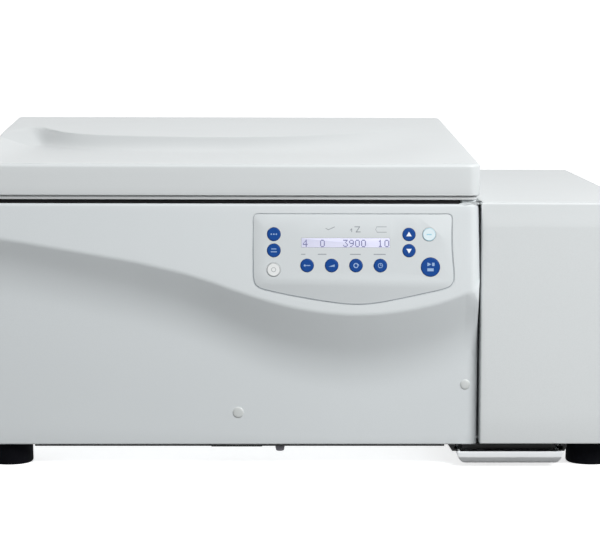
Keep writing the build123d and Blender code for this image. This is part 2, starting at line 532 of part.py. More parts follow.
# its low front wall curves under: a slanted foot of the wall, with the inside parallel to it
tray = tray - prism([(150, y, z) for y, z in ((TY0 - 1, 9.8), (TY0 + 5.5, 4.5), (TY0 + 5.5, 3.0), (TY0 - 1, 3.0))], (140, 0, 0)) \
    - bx(150, 290, TY0 - 1, TY0 + 5, TRAY_FRONT, 24)
cav = prism([(x, TY0 - 1.0, z) for x, z in ((172.4, 6.5), (265.9, 6.5), (268.6, 8.6), (269.9, 15.4), (269.9, 24.0), (166.5, 24.0),
                                          (166.5, 15.4), (167.9, 8.6))], (0, TY1 - TY0 + 2.0, 0))
cav = cav & prism([(150, y, z) for y, z in ((TY0 + 2, 10.0), (TY0 + 6.2, 6.5), (TY1 - 2, 6.5), (TY1 - 2, 26.0), (TY0 + 2, 26.0))], (140, 0, 0))
tray = tray + bx(161.6, 166, TY0 + 6, TY1, 18.4, 20.6) + bx(270, 274.6, TY0 + 6, TY1, 18.4, 20.6)
tray = tray - cav
write("drip_tray", tray)

rail_l = prism([(x, -279.0, z) for x, z in ((153, 28.0), (153, 23.8), (158.4, 15.8), (163.9, 15.8), (163.9, 17.9), (160.6, 17.9),
                                           (160.6, 21.2), (163, 21.2), (163, 28.0))], (0, 189, 0))
rail_r = prism([(x, -279.0, z) for x, z in ((280.4, 28.0), (280.4, 22.6), (277.8, 15.8), (272.4, 15.8), (272.4, 17.9), (275.6, 17.9),
                                           (275.6, 21.2), (273.2, 21.2), (273.2, 28.0))], (0, 189, 0))
back = bx(163, 273.2, -91.6, -90.0, 21.5, 28.0)
cross = bx(163, 273.2, -279.0, -275.0, 24.0, 28.0) + bx(168.6, 267.8, -279.0, -277.0, 17.4, 24.0)
# dark skirt of the base along the front
skirt = bx(-283, 150, -279.7, -277.0, 21.3, 28.0)

# bracket and emergency release under the front edge
bracket = bx(-97, -43, -277.5, -262, 20.2, 28.0) - bx(-95, -45, -276, -262, 21.7, 28.5)
bracket = bracket + bx(-43, -12, -277.5, -260, 26.4, 28.0) - [cz(-24, -268, 20, 40, 2.9)]
write("underside_brackets", (rail_l + rail_r + cross + back) - bx(179.8, 188.4, -290, -261.6, 23.2, 30), bracket + skirt)
pull = rev([(0, 14.6), (3.5, 14.6), (4.2, 15.3), (5.0, 19.0), (5.0, 23.8), (4.4, 24.8), (2.6, 24.8), (2.6, 46.0), (5.0, 46.0), (5.0, 49.0), (0, 49.0)],
           -24.0, -268.0)
write("release_pull", pull)

# ---------------------------------------------------------------- lid lock under the deck
bar = [bx(-262, 106, -250, -246, 262, 270)]
for x in LATCH_X:
    # an arm reaches forward from the bar, and its tongue points into the striker's window
    bar += [bx(x - 20, x - 14, -265, -250, 263, 269), bx(x - 14, x - 2.6, -265, -259, 264, 269)]
write("lock_bar", bar)
guides = []
for x in (XC - 60, XC + 60):
    guides.append(bx(x - 10, x + 10, -254, -242, 258, Z_DECK) - bx(x - 12, x + 12, -250.4, -245.6, 261.6, 270.4))
act = bx(96, 150, -258, -232, 254, Z_DECK) - bx(90, 124, -250.4, -245.6, 261.6, 270.4)
guides.append(act)
write("latch_guides", guides)

# ---------------------------------------------------------------- lid
LINE = [(-350, 232), (-325, 178), (-311, 142), (-296, 101.5), (-280, 69.5), (-260, 45.7), (-237, 31), (-214, 22), (-191, 16.8),
        (-169, 13.2), (-124, 7.8), (-80, 6.5), (-39, 11), (2, 22.8), (47, 46.3), (94, 81), (118, 102), (140, 120), (184, 150)]
# the ridge of the sculpted lid, Y over X: in front of it the top falls into a hollow, over this width
WIDTH = [(-350, 50), (-281, 62), (-208, 95), (-137, 112), (-80, 112), (-40, 130), (2, 165), (47, 215), (95, 280), (184, 330)]
FLOOR_F, FLOOR_R = 320.6, 321.6
LID_FALL = 0.0446                      # how the top falls towards the front


def lid_top(x, y):
    p = Z_LID_TOP - LID_FALL * (282.0 - min(y, 282.0))
    floor = FLOOR_F + (FLOOR_R - FLOOR_F) * (y - Y_LID_F) / 400.0
    t = min(max((interp(x, LINE) - y) / interp(x, WIDTH), 0.0), 1.0)
    s = 1 - (1 - t) ** 2
    b = smooth((x - X_LEFT - 0.36 * max(y - 30.0, 0.0) + 12.0) / 44.0) * smooth((X_BODY - x) / 130.0)
    return p - max(p - floor, 0.0) * s * b


def lid_sections(x0, x1, r, d, bottom, edge):
    xs = sorted(set([x0 + k for k in (0, 0.5, 1.6, 3.6, 7.0, r)] + [x1 - k for k in (0, 0.5, 1.6, 3.6, 7.0, r)]
                    + [x for x in (-334, -325, -312, -300, -285, -270, -250, -235, -215, -200, -180, -160, -140, -120, -100, -83,
                                   -60, -40, -20, 0, 20, 40, 60, 80, 100, 120, 140, 155, 166) if x0 + r < x < x1 - r]))
    ys = [0, 0.35, 1.2, 4, 20, 45, 75, 105, 135, 165, 190, 212, 234, 254, 274, 290, 303, 312, 322, 334, 348, 364, 380, 397, 415, 435,
          465, 500, 535, 560, 573, 579, 583, 585]
    full = Y_LID_R - Y_LID_F
    out = []
    for x in xs:
        c = max(corner(x - x0, r), corner(x1 - x, r))
        e = max(corner(x - x0, edge), corner(x1 - x, edge))
        y0, y1 = Y_LID_F + d + c, Y_LID_R - d - c
        sec = [(x, y0, bottom)]
        for k in ys:
            y = y0 + (y1 - y0) * k / full
            drop = max(corner(y - y0, 4.0), corner(y1 - y, 8.0), e)
            sec.append((x, y, lid_top(x, y) - d - drop))
        sec.append((x, y1, bottom))
        out.append(sec)
    return out


lid_out = loft(lid_sections(X_LEFT, X_BODY, CORNER_R, 0.0, Z_LID, 4.0))
lid_in = loft(lid_sections(X_LEFT + 4, X_BODY - 4, CORNER_R - 4, 4.0, Z_LID - 6, 2.0))
lid_cover = lid_out - lid_in
write("lid_cover", lid_cover)

liner = plate(X_LEFT + 3, X_BODY - 3, Y_LID_F + 3, Y_LID_R - 3, Z_LINER, Z_LID, CORNER_R - 3)
rim = plate(X_LEFT + 4.3, X_BODY - 4.3, Y_LID_F + 4.3, Y_LID_R - 4.3, Z_LID, 295.0, CORNER_R - 4.3) \
    - plate(X_LEFT + 6.8, X_BODY - 6.8, Y_LID_F + 6.8, Y_LID_R - 6.8, 280, 300, CORNER_R - 6.8)
dish = rev([(180.0, Z_LINER), (184.0, Z_LINER), (184.0, 297.0), (178.0, 305.5), (0, 305.5), (0, 303.0), (30, 303.0), (30, 299.0), (34, 299.0),
            (34, 303.0), (176.6, 303.0), (181.0, 296.2)])
liner = (liner + rim) - cz(XC, YC, 270, 300, 183.0)
liner = liner + dish
write("lid_liner", liner)

pad = plate(X_LEFT + 7.5, X_BODY - 7.5, Y_LID_F + 7.5, Y_LID_R - 7.5, 295.5, 311.5, 5.0) - rev([(0, 290), (189, 290), (189, 298), (180, 307), (0, 307)])
write("lid_insulation", pad)

strikers = []
for x in LATCH_X:
    s = bx(x - 1.5, x + 1.5, -272, -252, 258, Z_LINER) - bx(x - 4, x + 4, -267.4, -256.6, 262, 271)
    s = s + bx(x - 7, x + 7, -273, -251, 281.3, Z_LINER)
    strikers.append(s)
write("lid_strikers", strikers)

# ---------------------------------------------------------------- lid hinges
brackets, leaves, pins, springs = [], [], [], []
for hx in HINGE_X:
    b = bx(hx - 35, hx + 35, Y_REAR, Y_REAR + 3, 234, 272)
    for s in (-1, 1):
        k0, k1 = sorted((hx + s * 23, hx + s * 35))
        web = prism([(k0, y, z) for y, z in ((Y_REAR, 240), (Y_REAR + 3, 240), (304.5, 279), (HINGE_Y, 283), (HINGE_Y - 6, 278), (Y_REAR, 271))],
                    (k1 - k0, 0, 0))
        b = b + web + cx(k0, k1, HINGE_Y, HINGE_Z, HINGE_R)
    b = b - ([cx(hx - 40, hx + 40, HINGE_Y, HINGE_Z, 3.0)] + [cy(hx + s, 280, 296, z, 2.7) for s in (-15, 15) for z in (242, 258)])
    brackets.append(b)
    leaf = bx(hx - 22.5, hx + 22.5, 226, HINGE_Y, 280.6, Z_LINER)
    leaf = leaf - bx(hx - 7.6, hx + 7.6, HINGE_Y - 10, HINGE_Y + 2, 275, 292)
    for s in (-1, 1):
        k0, k1 = sorted((hx + s * 8, hx + s * 22.5))
        leaf = leaf + cx(k0, k1, HINGE_Y, HINGE_Z, HINGE_R)
    leaf = leaf - cx(hx - 40, hx + 40, HINGE_Y, HINGE_Z, 3.06)
    leaves.append(leaf)
    pins.append(cx(hx - 36, hx + 36, HINGE_Y, HINGE_Z, 3.0) + cx(hx - 37.5, hx - 35, HINGE_Y, HINGE_Z, 4.6))
    for k in range(5):
        springs.append(Pos(hx - 4.8 + 2.4 * k, HINGE_Y, HINGE_Z) * Rot(0, 90, 0) * Torus(5.2, 1.1))
    for z in (242, 258):
        for s in (-15, 15):
            pins.append(cy(hx + s, Y_REAR + 3, Y_REAR + 5.6, z, 4.6) + cy(hx + s, Y_REAR - 6, Y_REAR + 3, z, 2.5))
write("hinge_brackets", brackets)
write("lid_hinge_leaves", leaves)
write("hinge_pins", pins)
write("lid_springs", springs)
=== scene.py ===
import bpy
import bmesh
import json
import math
import numpy as np
from mathutils import Matrix, Vector

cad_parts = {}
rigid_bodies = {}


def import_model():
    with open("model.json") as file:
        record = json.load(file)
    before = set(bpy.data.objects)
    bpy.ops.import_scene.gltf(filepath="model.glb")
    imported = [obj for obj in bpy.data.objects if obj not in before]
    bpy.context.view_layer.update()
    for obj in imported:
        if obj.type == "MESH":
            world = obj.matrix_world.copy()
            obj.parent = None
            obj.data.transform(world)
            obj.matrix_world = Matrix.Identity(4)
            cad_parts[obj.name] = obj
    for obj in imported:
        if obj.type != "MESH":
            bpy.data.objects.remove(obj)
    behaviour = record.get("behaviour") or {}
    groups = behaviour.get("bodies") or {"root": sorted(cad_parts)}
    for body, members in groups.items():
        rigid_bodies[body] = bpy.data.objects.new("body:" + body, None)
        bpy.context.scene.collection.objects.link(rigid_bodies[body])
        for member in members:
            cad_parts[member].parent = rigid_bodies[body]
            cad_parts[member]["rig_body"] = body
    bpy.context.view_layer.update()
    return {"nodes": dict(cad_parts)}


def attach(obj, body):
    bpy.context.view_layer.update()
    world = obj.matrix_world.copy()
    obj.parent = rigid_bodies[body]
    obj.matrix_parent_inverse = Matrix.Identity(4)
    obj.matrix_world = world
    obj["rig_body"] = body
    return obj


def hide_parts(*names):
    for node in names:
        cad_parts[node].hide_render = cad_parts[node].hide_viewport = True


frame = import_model()
NODES = frame["nodes"]
MM = 0.001

# ---------------------------------------------------------------- dimensions of the object, mm
X_LEFT, X_RIGHT = -350.0, 350.0
X_BODY, X_UNIT = 184.5, 185.7
Y_PANEL, Y_LOWER = -292.85, -283.0
Y_LID_F, Y_LID_R, Y_REAR = -295.0, 290.0, 288.0
Z_BOTTOM, Z_TOP, Z_DECK, Z_LID, Z_LINER, Z_LID_TOP = 23.6, 279.0, 276.0, 287.7, 283.3, 347.0
Z_UNIT, Z_UNIT_BOTTOM, TRAY_FRONT = 281.0, 26.2, 17.2
LID_FALL = 0.0446
CORNER_R = 12.0
XC, YC = -83.0, 0.0
BOWL_R, OPEN_R = 192.0, 190.0
PIVOT_R, PIVOT_Z = 92.0, 212.0
BUCKET_R, BUCKET_UP, BUCKET_DOWN = 38.0, 25.0, 80.0
HINGE_Y, HINGE_Z, HINGE_R = 297.0, 283.0, 8.0
HINGE_X = (XC - 170.0, XC + 170.0)
LATCH_X = (XC - 150.0, XC + 150.0)
FOOT_X, FOOT_Y, FOOT_R = (-312.0, 307.5), 250.0, 25.0
TILT = math.radians(6.0)
TAN, COS, SIN = math.tan(TILT), math.cos(TILT), math.sin(TILT)

SWEEP = [(-350, 248.0), (-325, 243.6), (-300, 240.0), (-275, 235.8), (-250, 231.6), (-225, 227.3),
         (-200, 223.0), (-175, 218.5), (-150, 212.8), (-125, 206.9), (-100, 199.3), (-75, 190.5),
         (-50, 182.3), (-25, 175.1), (0, 169.7), (25, 166.1), (50, 164.4), (75, 165.0), (100, 167.7),
         (125, 172.3), (150, 179.0), (165, 184.6), (173.2, 188.2), (177.4, 191.4), (181.5, 195.6), (184.5, 202.0)]
KEYS = [
    ("button_left_top", "key_left_top", -31.4, 247.6, 13.8),
    ("button_left_middle", "key_left_middle", -31.4, 230.8, 13.8),
    ("button_lid_open", "key_lid_open", -31.6, 210.8, 14.0),
    ("button_set_1", "key_set_1", 3.3, 215.2, 13.6),
    ("button_set_2", "key_set_2", 28.9, 215.2, 13.6),
    ("button_set_3", "key_set_3", 54.3, 215.2, 13.6),
    ("button_set_4", "key_set_4", 79.8, 215.2, 13.6),
    ("button_up", "key_up", 109.6, 247.5, 13.3),
    ("button_down", "key_down", 109.7, 230.7, 13.3),
    ("button_short_spin", "key_short_spin", 130.7, 247.5, 13.8),
    ("button_start_stop", "key_start_stop", 132.1, 213.7, 19.6),
]
LCD = (-2.7, 89.8, 233.8, 243.8)
OVERLAY = [(-53.4, 264.8), (-51.9, 267.9), (-48.6, 269.3), (-38, 269.3), (0, 269.3), (60, 269.3), (110, 269.3), (140, 269.3),
           (150.6, 269.3), (153.9, 267.9), (155.3, 264.5), (155.35, 258.0), (155.6, 232.0), (157.6, 205.0), (157.0, 198.5),
           (153.7, 193.6), (147.5, 190.6), (128.0, 186.0), (109.1, 181.9), (93.0, 178.6), (77.0, 175.8), (61.2, 174.3),
           (45.0, 174.6), (29.2, 176.4), (13.0, 178.8), (-2.8, 181.5), (-18.0, 184.3), (-34.7, 187.9), (-45.5, 191.0),
           (-51.0, 195.0), (-53.0, 201.0), (-53.6, 220.0), (-53.6, 235.8), (-53.5, 257.0)]
LINE = [(-350, 232), (-325, 178), (-311, 142), (-296, 101.5), (-280, 69.5), (-260, 45.7), (-237, 31), (-214, 22), (-191, 16.8),
        (-169, 13.2), (-124, 7.8), (-80, 6.5), (-39, 11), (2, 22.8), (47, 46.3), (94, 81), (118, 102), (140, 120), (184, 150)]
WIDTH = [(-350, 50), (-281, 62), (-208, 95), (-137, 112), (-80, 112), (-40, 130), (2, 165), (47, 215), (95, 280), (184, 330)]


# ---------------------------------------------------------------- curves and numbers
def pchip(table):
    """Smooth curve through (x, y) points that doesn't overshoot."""
    xs = np.array([p[0] for p in table], float)
    ys = np.array([p[1] for p in table], float)
    h = np.diff(xs)
    d = np.diff(ys) / h
    m = np.zeros(len(xs))
    for i in range(1, len(xs) - 1):
        if d[i - 1] * d[i] > 0:
            w1, w2 = 2 * h[i] + h[i - 1], h[i] + 2 * h[i - 1]
            m[i] = (w1 + w2) / (w1 / d[i - 1] + w2 / d[i])
    m[0], m[-1] = d[0], d[-1]

    def f(x):
        x = min(max(x, xs[0]), xs[-1])
        i = min(max(int(np.searchsorted(xs, x)) - 1, 0), len(h) - 1)
        t = (x - xs[i]) / h[i]
        return float((2 * t ** 3 - 3 * t ** 2 + 1) * ys[i] + (t ** 3 - 2 * t ** 2 + t) * h[i] * m[i]
                     + (-2 * t ** 3 + 3 * t ** 2) * ys[i + 1] + (t ** 3 - t ** 2) * h[i] * m[i + 1])
    return f


def ease(t):
    t = min(max(t, 0.0), 1.0)
    return t * t * (3 - 2 * t)


def lerp(a, b, t):
    return a + (b - a) * t


def lin(a, b, n):
    return [a + (b - a) * k / (n - 1) for k in range(n)]


def fillet2(points, radius, seg=4, closed=True):
    """Polygon or polyline with its corners rounded. radius is one number or one for each point."""
    n = len(points)
    out = []
    for i, p in enumerate(points):
        r = radius[i] if isinstance(radius, (list, tuple)) else radius
        if r <= 0 or (not closed and i in (0, n - 1)):
            out.append(tuple(p))
            continue
        a = np.array(points[i - 1], float) - p
        b = np.array(points[(i + 1) % n], float) - p
        la, lb = np.linalg.norm(a), np.linalg.norm(b)
        if la < 1e-9 or lb < 1e-9:
            out.append(tuple(p))
            continue
        a, b = a / la, b / lb
        c = float(np.clip(a @ b, -1, 1))
        half = math.acos(c) / 2
        if half > math.radians(88) or half < math.radians(2):
            out.append(tuple(p))
            continue
        t = min(r / math.tan(half), 0.49 * la, 0.49 * lb)
        rr = t * math.tan(half)
        mid = (a + b) / np.linalg.norm(a + b)
        centre = np.array(p, float) + mid * (rr / math.sin(half))
        p0, p1 = np.array(p) + a * t - centre, np.array(p) + b * t - centre
        a0 = math.atan2(p0[1], p0[0])
        a1 = math.atan2(p1[1], p1[0])
        while a1 - a0 > math.pi:
            a1 -= 2 * math.pi
        while a1 - a0 < -math.pi:
            a1 += 2 * math.pi
        for k in range(seg + 1):
            q = a0 + (a1 - a0) * k / seg
            out.append((centre[0] + rr * math.cos(q), centre[1] + rr * math.sin(q)))
    return out


def rounded(x0, x1, y0, y1, r, seg=6):
    """Rectangle with rounded corners."""
    return fillet2([(x0, y0), (x1, y0), (x1, y1), (x0, y1)], r, seg)


def area2(points):
    return sum(points[i][0] * points[(i + 1) % len(points)][1] - points[(i + 1) % len(points)][0] * points[i][1]
               for i in range(len(points))) / 2


def inset(points, d):
    """Polygon moved inwards by d."""
    n = len(points)
    s = 1 if area2(points) > 0 else -1
    out = []
    for i in range(n):
        (x0, z0), (x1, z1), (x2, z2) = points[i - 1], points[i], points[(i + 1) % n]
        a = math.hypot(x1 - x0, z1 - z0) or 1e-9
        b = math.hypot(x2 - x1, z2 - z1) or 1e-9
        n1 = (-(z1 - z0) / a * s, (x1 - x0) / a * s)
        n2 = (-(z2 - z1) / b * s, (x2 - x1) / b * s)
        k = max(1 + n1[0] * n2[0] + n1[1] * n2[1], 0.3)
        out.append((x1 + d * (n1[0] + n2[0]) / k, z1 + d * (n1[1] + n2[1]) / k))
    return out


def spline_loop(points, sub=6):
    """Closed Catmull-Rom curve through points (centripetal)."""
    n = len(points)
    P = [np.array(p, float) for p in points]
    out = []
    for i in range(n):
        p0, p1, p2, p3 = P[i - 1], P[i], P[(i + 1) % n], P[(i + 2) % n]
        t0 = 0.0
        t1 = t0 + max(np.linalg.norm(p1 - p0), 1e-6) ** 0.5
        t2 = t1 + max(np.linalg.norm(p2 - p1), 1e-6) ** 0.5
        t3 = t2 + max(np.linalg.norm(p3 - p2), 1e-6) ** 0.5
        for k in range(sub):
            t = t1 + (t2 - t1) * k / sub
            a1 = (t1 - t) / (t1 - t0) * p0 + (t - t0) / (t1 - t0) * p1
            a2 = (t2 - t) / (t2 - t1) * p1 + (t - t1) / (t2 - t1) * p2
            a3 = (t3 - t) / (t3 - t2) * p2 + (t - t2) / (t3 - t2) * p3
            b1 = (t2 - t) / (t2 - t0) * a1 + (t - t0) / (t2 - t0) * a2
            b2 = (t3 - t) / (t3 - t1) * a2 + (t - t1) / (t3 - t1) * a3
            c = (t2 - t) / (t2 - t1) * b1 + (t - t1) / (t2 - t1) * b2
            out.append((float(c[0]), float(c[1])))
    return out


# ---------------------------------------------------------------- mesh building
class Soup:
    """Closed parts gathered into one mesh, in mm."""

    def __init__(self):
        self.v, self.f, self.m = [], [], []

    def add(self, vf, mat=0, at=None):
        v, f = vf
        k = len(self.v)
        self.v += [at(*p) for p in v] if at else [tuple(p) for p in v]
        self.f += [tuple(i + k for i in q) for q in f]
        self.m += [mat] * len(f)
        return self

    def obj(self, name, mats=(), weld=False):
        me = bpy.data.meshes.new(name)
        me.from_pydata([(p[0] * MM, p[1] * MM, p[2] * MM) for p in self.v], [], self.f)
        for m in mats:
            me.materials.append(m)
        me.polygons.foreach_set("material_index", self.m)
        bm = bmesh.new()
        bm.from_mesh(me)
        if weld:
            bmesh.ops.remove_doubles(bm, verts=bm.verts, dist=1e-6)
        bmesh.ops.recalc_face_normals(bm, faces=bm.faces)
        bm.to_mesh(me)
        bm.free()
        ob = bpy.data.objects.new(name, me)
        bpy.context.scene.collection.objects.link(ob)
        return ob


def lathe(profile, seg=72, closed=True, hexed=()):
    """Revolved (radius, w) profile about the w axis, as (verts, faces) in (u, v, w). Points on the axis become poles.
    The points named in hexed lie on a hexagon instead of a circle."""
    pts = list(profile)
    v, f, rows = [], [], []
    for i, (r, w) in enumerate(pts):
        if abs(r) < 1e-6:
            rows.append([len(v)] * seg)
            v.append((0.0, 0.0, w))
        else:
            rows.append(list(range(len(v), len(v) + seg)))
            for k in range(seg):
                a = 2 * math.pi * k / seg
                q = r * math.cos(math.pi / 6) / math.cos((a % (math.pi / 3)) - math.pi / 6) if i in hexed else r
                v.append((q * math.cos(a), q * math.sin(a), w))
    n = len(pts)
    loop = closed and not (abs(pts[0][0]) < 1e-6 and abs(pts[-1][0]) < 1e-6)
    for i in range(n if loop else n - 1):
        a, b = rows[i], rows[(i + 1) % n]
        for k in range(seg):
            q = [a[k], a[(k + 1) % seg], b[(k + 1) % seg], b[k]]
            u = []
            for j in q:
                if j not in u:
                    u.append(j)
            if len(u) > 2:
                f.append(tuple(u))
    return v, f


def round_profile(profile, r, seg=3, keep=()):
    """Lathe profile with its corners rounded, all but those on the axis."""
    n = len(profile)
    axis_ends = abs(profile[0][0]) < 1e-6 and abs(profile[-1][0]) < 1e-6
    radii = [0.0 if (abs(p[0]) < 1e-6 or i in keep) else (r[i] if isinstance(r, (list, tuple)) else r)
             for i, p in enumerate(profile)]
    return fillet2(profile, radii, seg, closed=not axis_ends)


def prism(poly, w0, w1, r=0.0, seg=2, r0=None):
    """Polygon (u, v) raised from w0 to w1, its edges rounded by r (r0 at the w0 end), as (verts, faces)."""
    if area2(poly) < 0:
        poly = poly[::-1]
    r0 = r if r0 is None else r0
    rings = []
    if r0 > 0:
        for k in range(seg + 1):
            a = math.pi / 2 * k / seg
            rings.append((r0 * (1 - math.sin(a)), w0 + r0 * (1 - math.cos(a))))
    else:
        rings.append((0.0, w0))
    if r > 0:
        for k in range(seg + 1):
            a = math.pi / 2 * k / seg
            rings.append((r * (1 - math.cos(a)), w1 - r * (1 - math.sin(a))))
    else:
        rings.append((0.0, w1))
    v, f, n = [], [], len(poly)
    for d, w in rings:
        v += [(x, y, w) for x, y in (inset(poly, d) if d > 1e-9 else poly)]
    for i in range(len(rings) - 1):
        for k in range(n):
            f.append((i * n + k, i * n + (k + 1) % n, (i + 1) * n + (k + 1) % n, (i + 1) * n + k))
    f.append(tuple(range(n))[::-1])
    f.append(tuple(range((len(rings) - 1) * n, len(rings) * n)))
    return v, f


def rbox(x0, x1, y0, y1, z0, z1, r=0.6, seg=2):
    """Box with all its edges rounded, as (verts, faces)."""
    c = ((x0 + x1) / 2, (y0 + y1) / 2, (z0 + z1) / 2)
    h = (abs(x1 - x0) / 2, abs(y1 - y0) / 2, abs(z1 - z0) / 2)
    r = min(r, min(h) * 0.98)
    offs = [math.tan(math.pi / 4 * k / seg) * r for k in range(seg + 1)]
    axes = [[-(s - r) - o for o in reversed(offs)] + [(s - r) + o for o in offs] for s in h]
    v, f, seen = [], [], {}

    def vert(p):
        q = [min(max(p[i], -(h[i] - r)), h[i] - r) for i in range(3)]
        d = np.array([p[i] - q[i] for i in range(3)])
        length = np.linalg.norm(d)
        d = d / length * r if length > 1e-9 else d
        w = tuple(round(c[i] + q[i] + d[i], 6) for i in range(3))
        if w not in seen:
            seen[w] = len(v)
            v.append(w)
        return seen[w]

    for ax in range(3):
        a, b = (ax + 1) % 3, (ax + 2) % 3
        for side in (-1, 1):
            for i in range(len(axes[a]) - 1):
                for j in range(len(axes[b]) - 1):
                    quad = []
                    for (p, q) in ((i, j), (i + 1, j), (i + 1, j + 1), (i, j + 1)):
                        w = [0.0, 0.0, 0.0]
                        w[ax] = side * h[ax]
                        w[a], w[b] = axes[a][p], axes[b][q]
                        k = vert(w)
                        if k not in quad:
                            quad.append(k)
                    if len(quad) > 2:
                        f.append(tuple(quad if side > 0 else quad[::-1]))
    return v, f


def arc_path(points, radius, seg=6):
    """3-D polyline with its corners rounded."""
    out = [Vector(points[0])]
    for i in range(1, len(points) - 1):
        p, a, b = Vector(points[i]), Vector(points[i - 1]), Vector(points[i + 1])
        da, db = (a - p), (b - p)
        half = da.angle(db) / 2
        r = radius[i - 1] if isinstance(radius, (list, tuple)) else radius
        t = min(r / math.tan(half), 0.49 * da.length, 0.49 * db.length)
        rr = t * math.tan(half)
        da.normalize()
        db.normalize()
        c = p + (da + db).normalized() * (rr / math.sin(half))
        p0, p1 = p + da * t - c, p + db * t - c
        for k in range(seg + 1):
            out.append(c + p0.slerp(p1, k / seg) if p0.angle(p1) > 1e-4 else c + p0)
    out.append(Vector(points[-1]))
    return out


def tube(path, r, seg=16, cap=0.0, closed=False):
    """Round tube along a path of points, as (verts, faces). cap rounds its ends."""
    P = [Vector(p) for p in path]
    n = len(P)
    T = []
    for i in range(n):
        if closed:
            t = P[(i + 1) % n] - P[i - 1]
        else:
            t = P[min(i + 1, n - 1)] - P[max(i - 1, 0)]
        T.append(t.normalized())
    u = T[0].orthogonal().normalized()
    frames = []
    for i in range(n):
        if i:
            q = T[i - 1].rotation_difference(T[i])
            u = (q @ u)
            u = (u - T[i] * u.dot(T[i])).normalized()
        frames.append((P[i], u.copy(), T[i].cross(u).normalized()))
    if closed:
        twist = math.atan2(frames[0][2].dot(frames[-1][1]), frames[0][1].dot(frames[-1][1]))
    rings = []
    for i, (p, a, b) in enumerate(frames):
        if closed:
            w = -twist * i / n
            a, b = a * math.cos(w) + b * math.sin(w), b * math.cos(w) - a * math.sin(w)
        rings.append((p, a, b, r))
    v, f = [], []
    if not closed and cap > 0:
        # the end rings stand inside the first and last rings of the path
        first, last = rings[0], rings[-1]
        start = [(first[0] + T[0] * cap * (1 - math.cos(q)), first[1], first[2], r - cap + cap * math.sin(q))
                 for q in (math.pi / 6 * k for k in (0, 1, 2, 3))]
        end = [(last[0] - T[-1] * cap * (1 - math.cos(q)), last[1], last[2], r - cap + cap * math.sin(q))
               for q in (math.pi / 6 * k for k in (3, 2, 1, 0))]
        rings = start + rings[1:-1] + end
    for p, a, b, rr in rings:
        for k in range(seg):
            w = 2 * math.pi * k / seg
            v.append(tuple(p + a * (rr * math.cos(w)) + b * (rr * math.sin(w))))
    m = len(rings)
    for i in range(m if closed else m - 1):
        for k in range(seg):
            j = (i + 1) % m
            f.append((i * seg + k, i * seg + (k + 1) % seg, j * seg + (k + 1) % seg, j * seg + k))
    if not closed:
        f.append(tuple(range(seg))[::-1])
        f.append(tuple(range((m - 1) * seg, m * seg)))
    return v, f


def helix(centre, axis, r, pitch, turns, wire, per_turn=36, seg=10, lead=0.0, cap=0.3):
    """Coil spring or wound tube as (verts, faces). axis is X or Z."""
    pts = []
    n = int(turns * per_turn)
    for i in range(n + 1):
        a = 2 * math.pi * i / per_turn
        w = pitch * (i / per_turn - turns / 2)
        if axis == "X":
            pts.append((centre[0] + w, centre[1] + r * math.cos(a), centre[2] + r * math.sin(a)))
        else:
            pts.append((centre[0] + r * math.cos(a), centre[1] + r * math.sin(a), centre[2] + w))
    return tube(pts, wire, seg, cap)


def place_z(x, y, z=0.0):
    return lambda u, v, w: (x + u, y + v, z + w)


def place_y(x, y, z, sign=1):
    """w runs along -Y (sign 1), u along X, v up."""
    return lambda u, v, w: (x + u, y - sign * w, z + v)


def place_x(x, y, z, sign=1):
    """w runs along X."""
    return lambda u, v, w: (x + sign * w, y + u, z + v)


def on_panel(x, z, out=0.0):
    return (x, Y_PANEL - (Z_TOP - z) * TAN - out * COS, z + out * SIN)


def field(u, v, w):
    """(X, Z on the leaning field, out) to a point."""
    return on_panel(u, v, w)


def key_place(x, z):
    return lambda u, v, w: on_panel(x + u, z + v, w)


def bake(ob):
    dg = bpy.context.evaluated_depsgraph_get()
    me = bpy.data.meshes.new_from_object(ob.evaluated_get(dg), preserve_all_data_layers=True, depsgraph=dg)
    old = ob.data
    ob.modifiers.clear()
    ob.data = me
    if old.users == 0:
        bpy.data.meshes.remove(old)
    return ob


def cut(ob, *cutters, op="DIFFERENCE", solver="EXACT"):
    for c in cutters:
        m = ob.modifiers.new("cut", "BOOLEAN")
        m.operation, m.object, m.solver = op, c, solver
        if solver == "EXACT":
            m.use_hole_tolerant = False
        before = len(ob.data.polygons)
        bake(ob)
        if len(ob.data.polygons) == 0:
            print("EMPTY after boolean", ob.name, before)
        me = c.data
        bpy.data.objects.remove(c)
        bpy.data.meshes.remove(me)
    return ob


def shell(ob, thickness, even=True):
    m = ob.modifiers.new("shell", "SOLIDIFY")
    m.thickness = thickness * MM
    m.offset = -1.0
    m.use_even_offset = even
    m.use_rim = True
    return bake(ob)


def soften(ob, width, angle=35.0, seg=2):
    m = ob.modifiers.new("edge", "BEVEL")
    m.width = width * MM
    m.segments = seg
    m.limit_method = "ANGLE"
    m.angle_limit = math.radians(angle)
    m.harden_normals = False
    m.use_clamp_overlap = True
    m.miter_outer = "MITER_ARC"
    return bake(ob)


def outward(ob):
    bm = bmesh.new()
    bm.from_mesh(ob.data)
    bmesh.ops.recalc_face_normals(bm, faces=bm.faces)
    bm.to_mesh(ob.data)
    bm.free()
    return ob


def smooth(ob, angle=35.0):
    me = ob.data
    me.polygons.foreach_set("use_smooth", [True] * len(me.polygons))
    me.set_sharp_from_angle(angle=math.radians(angle))
    return ob


def place(ob, body, stands_for=(), angle=35.0):
    smooth(ob, angle)
    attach(ob, body)
    if stands_for:
        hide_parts(*stands_for)
    return ob


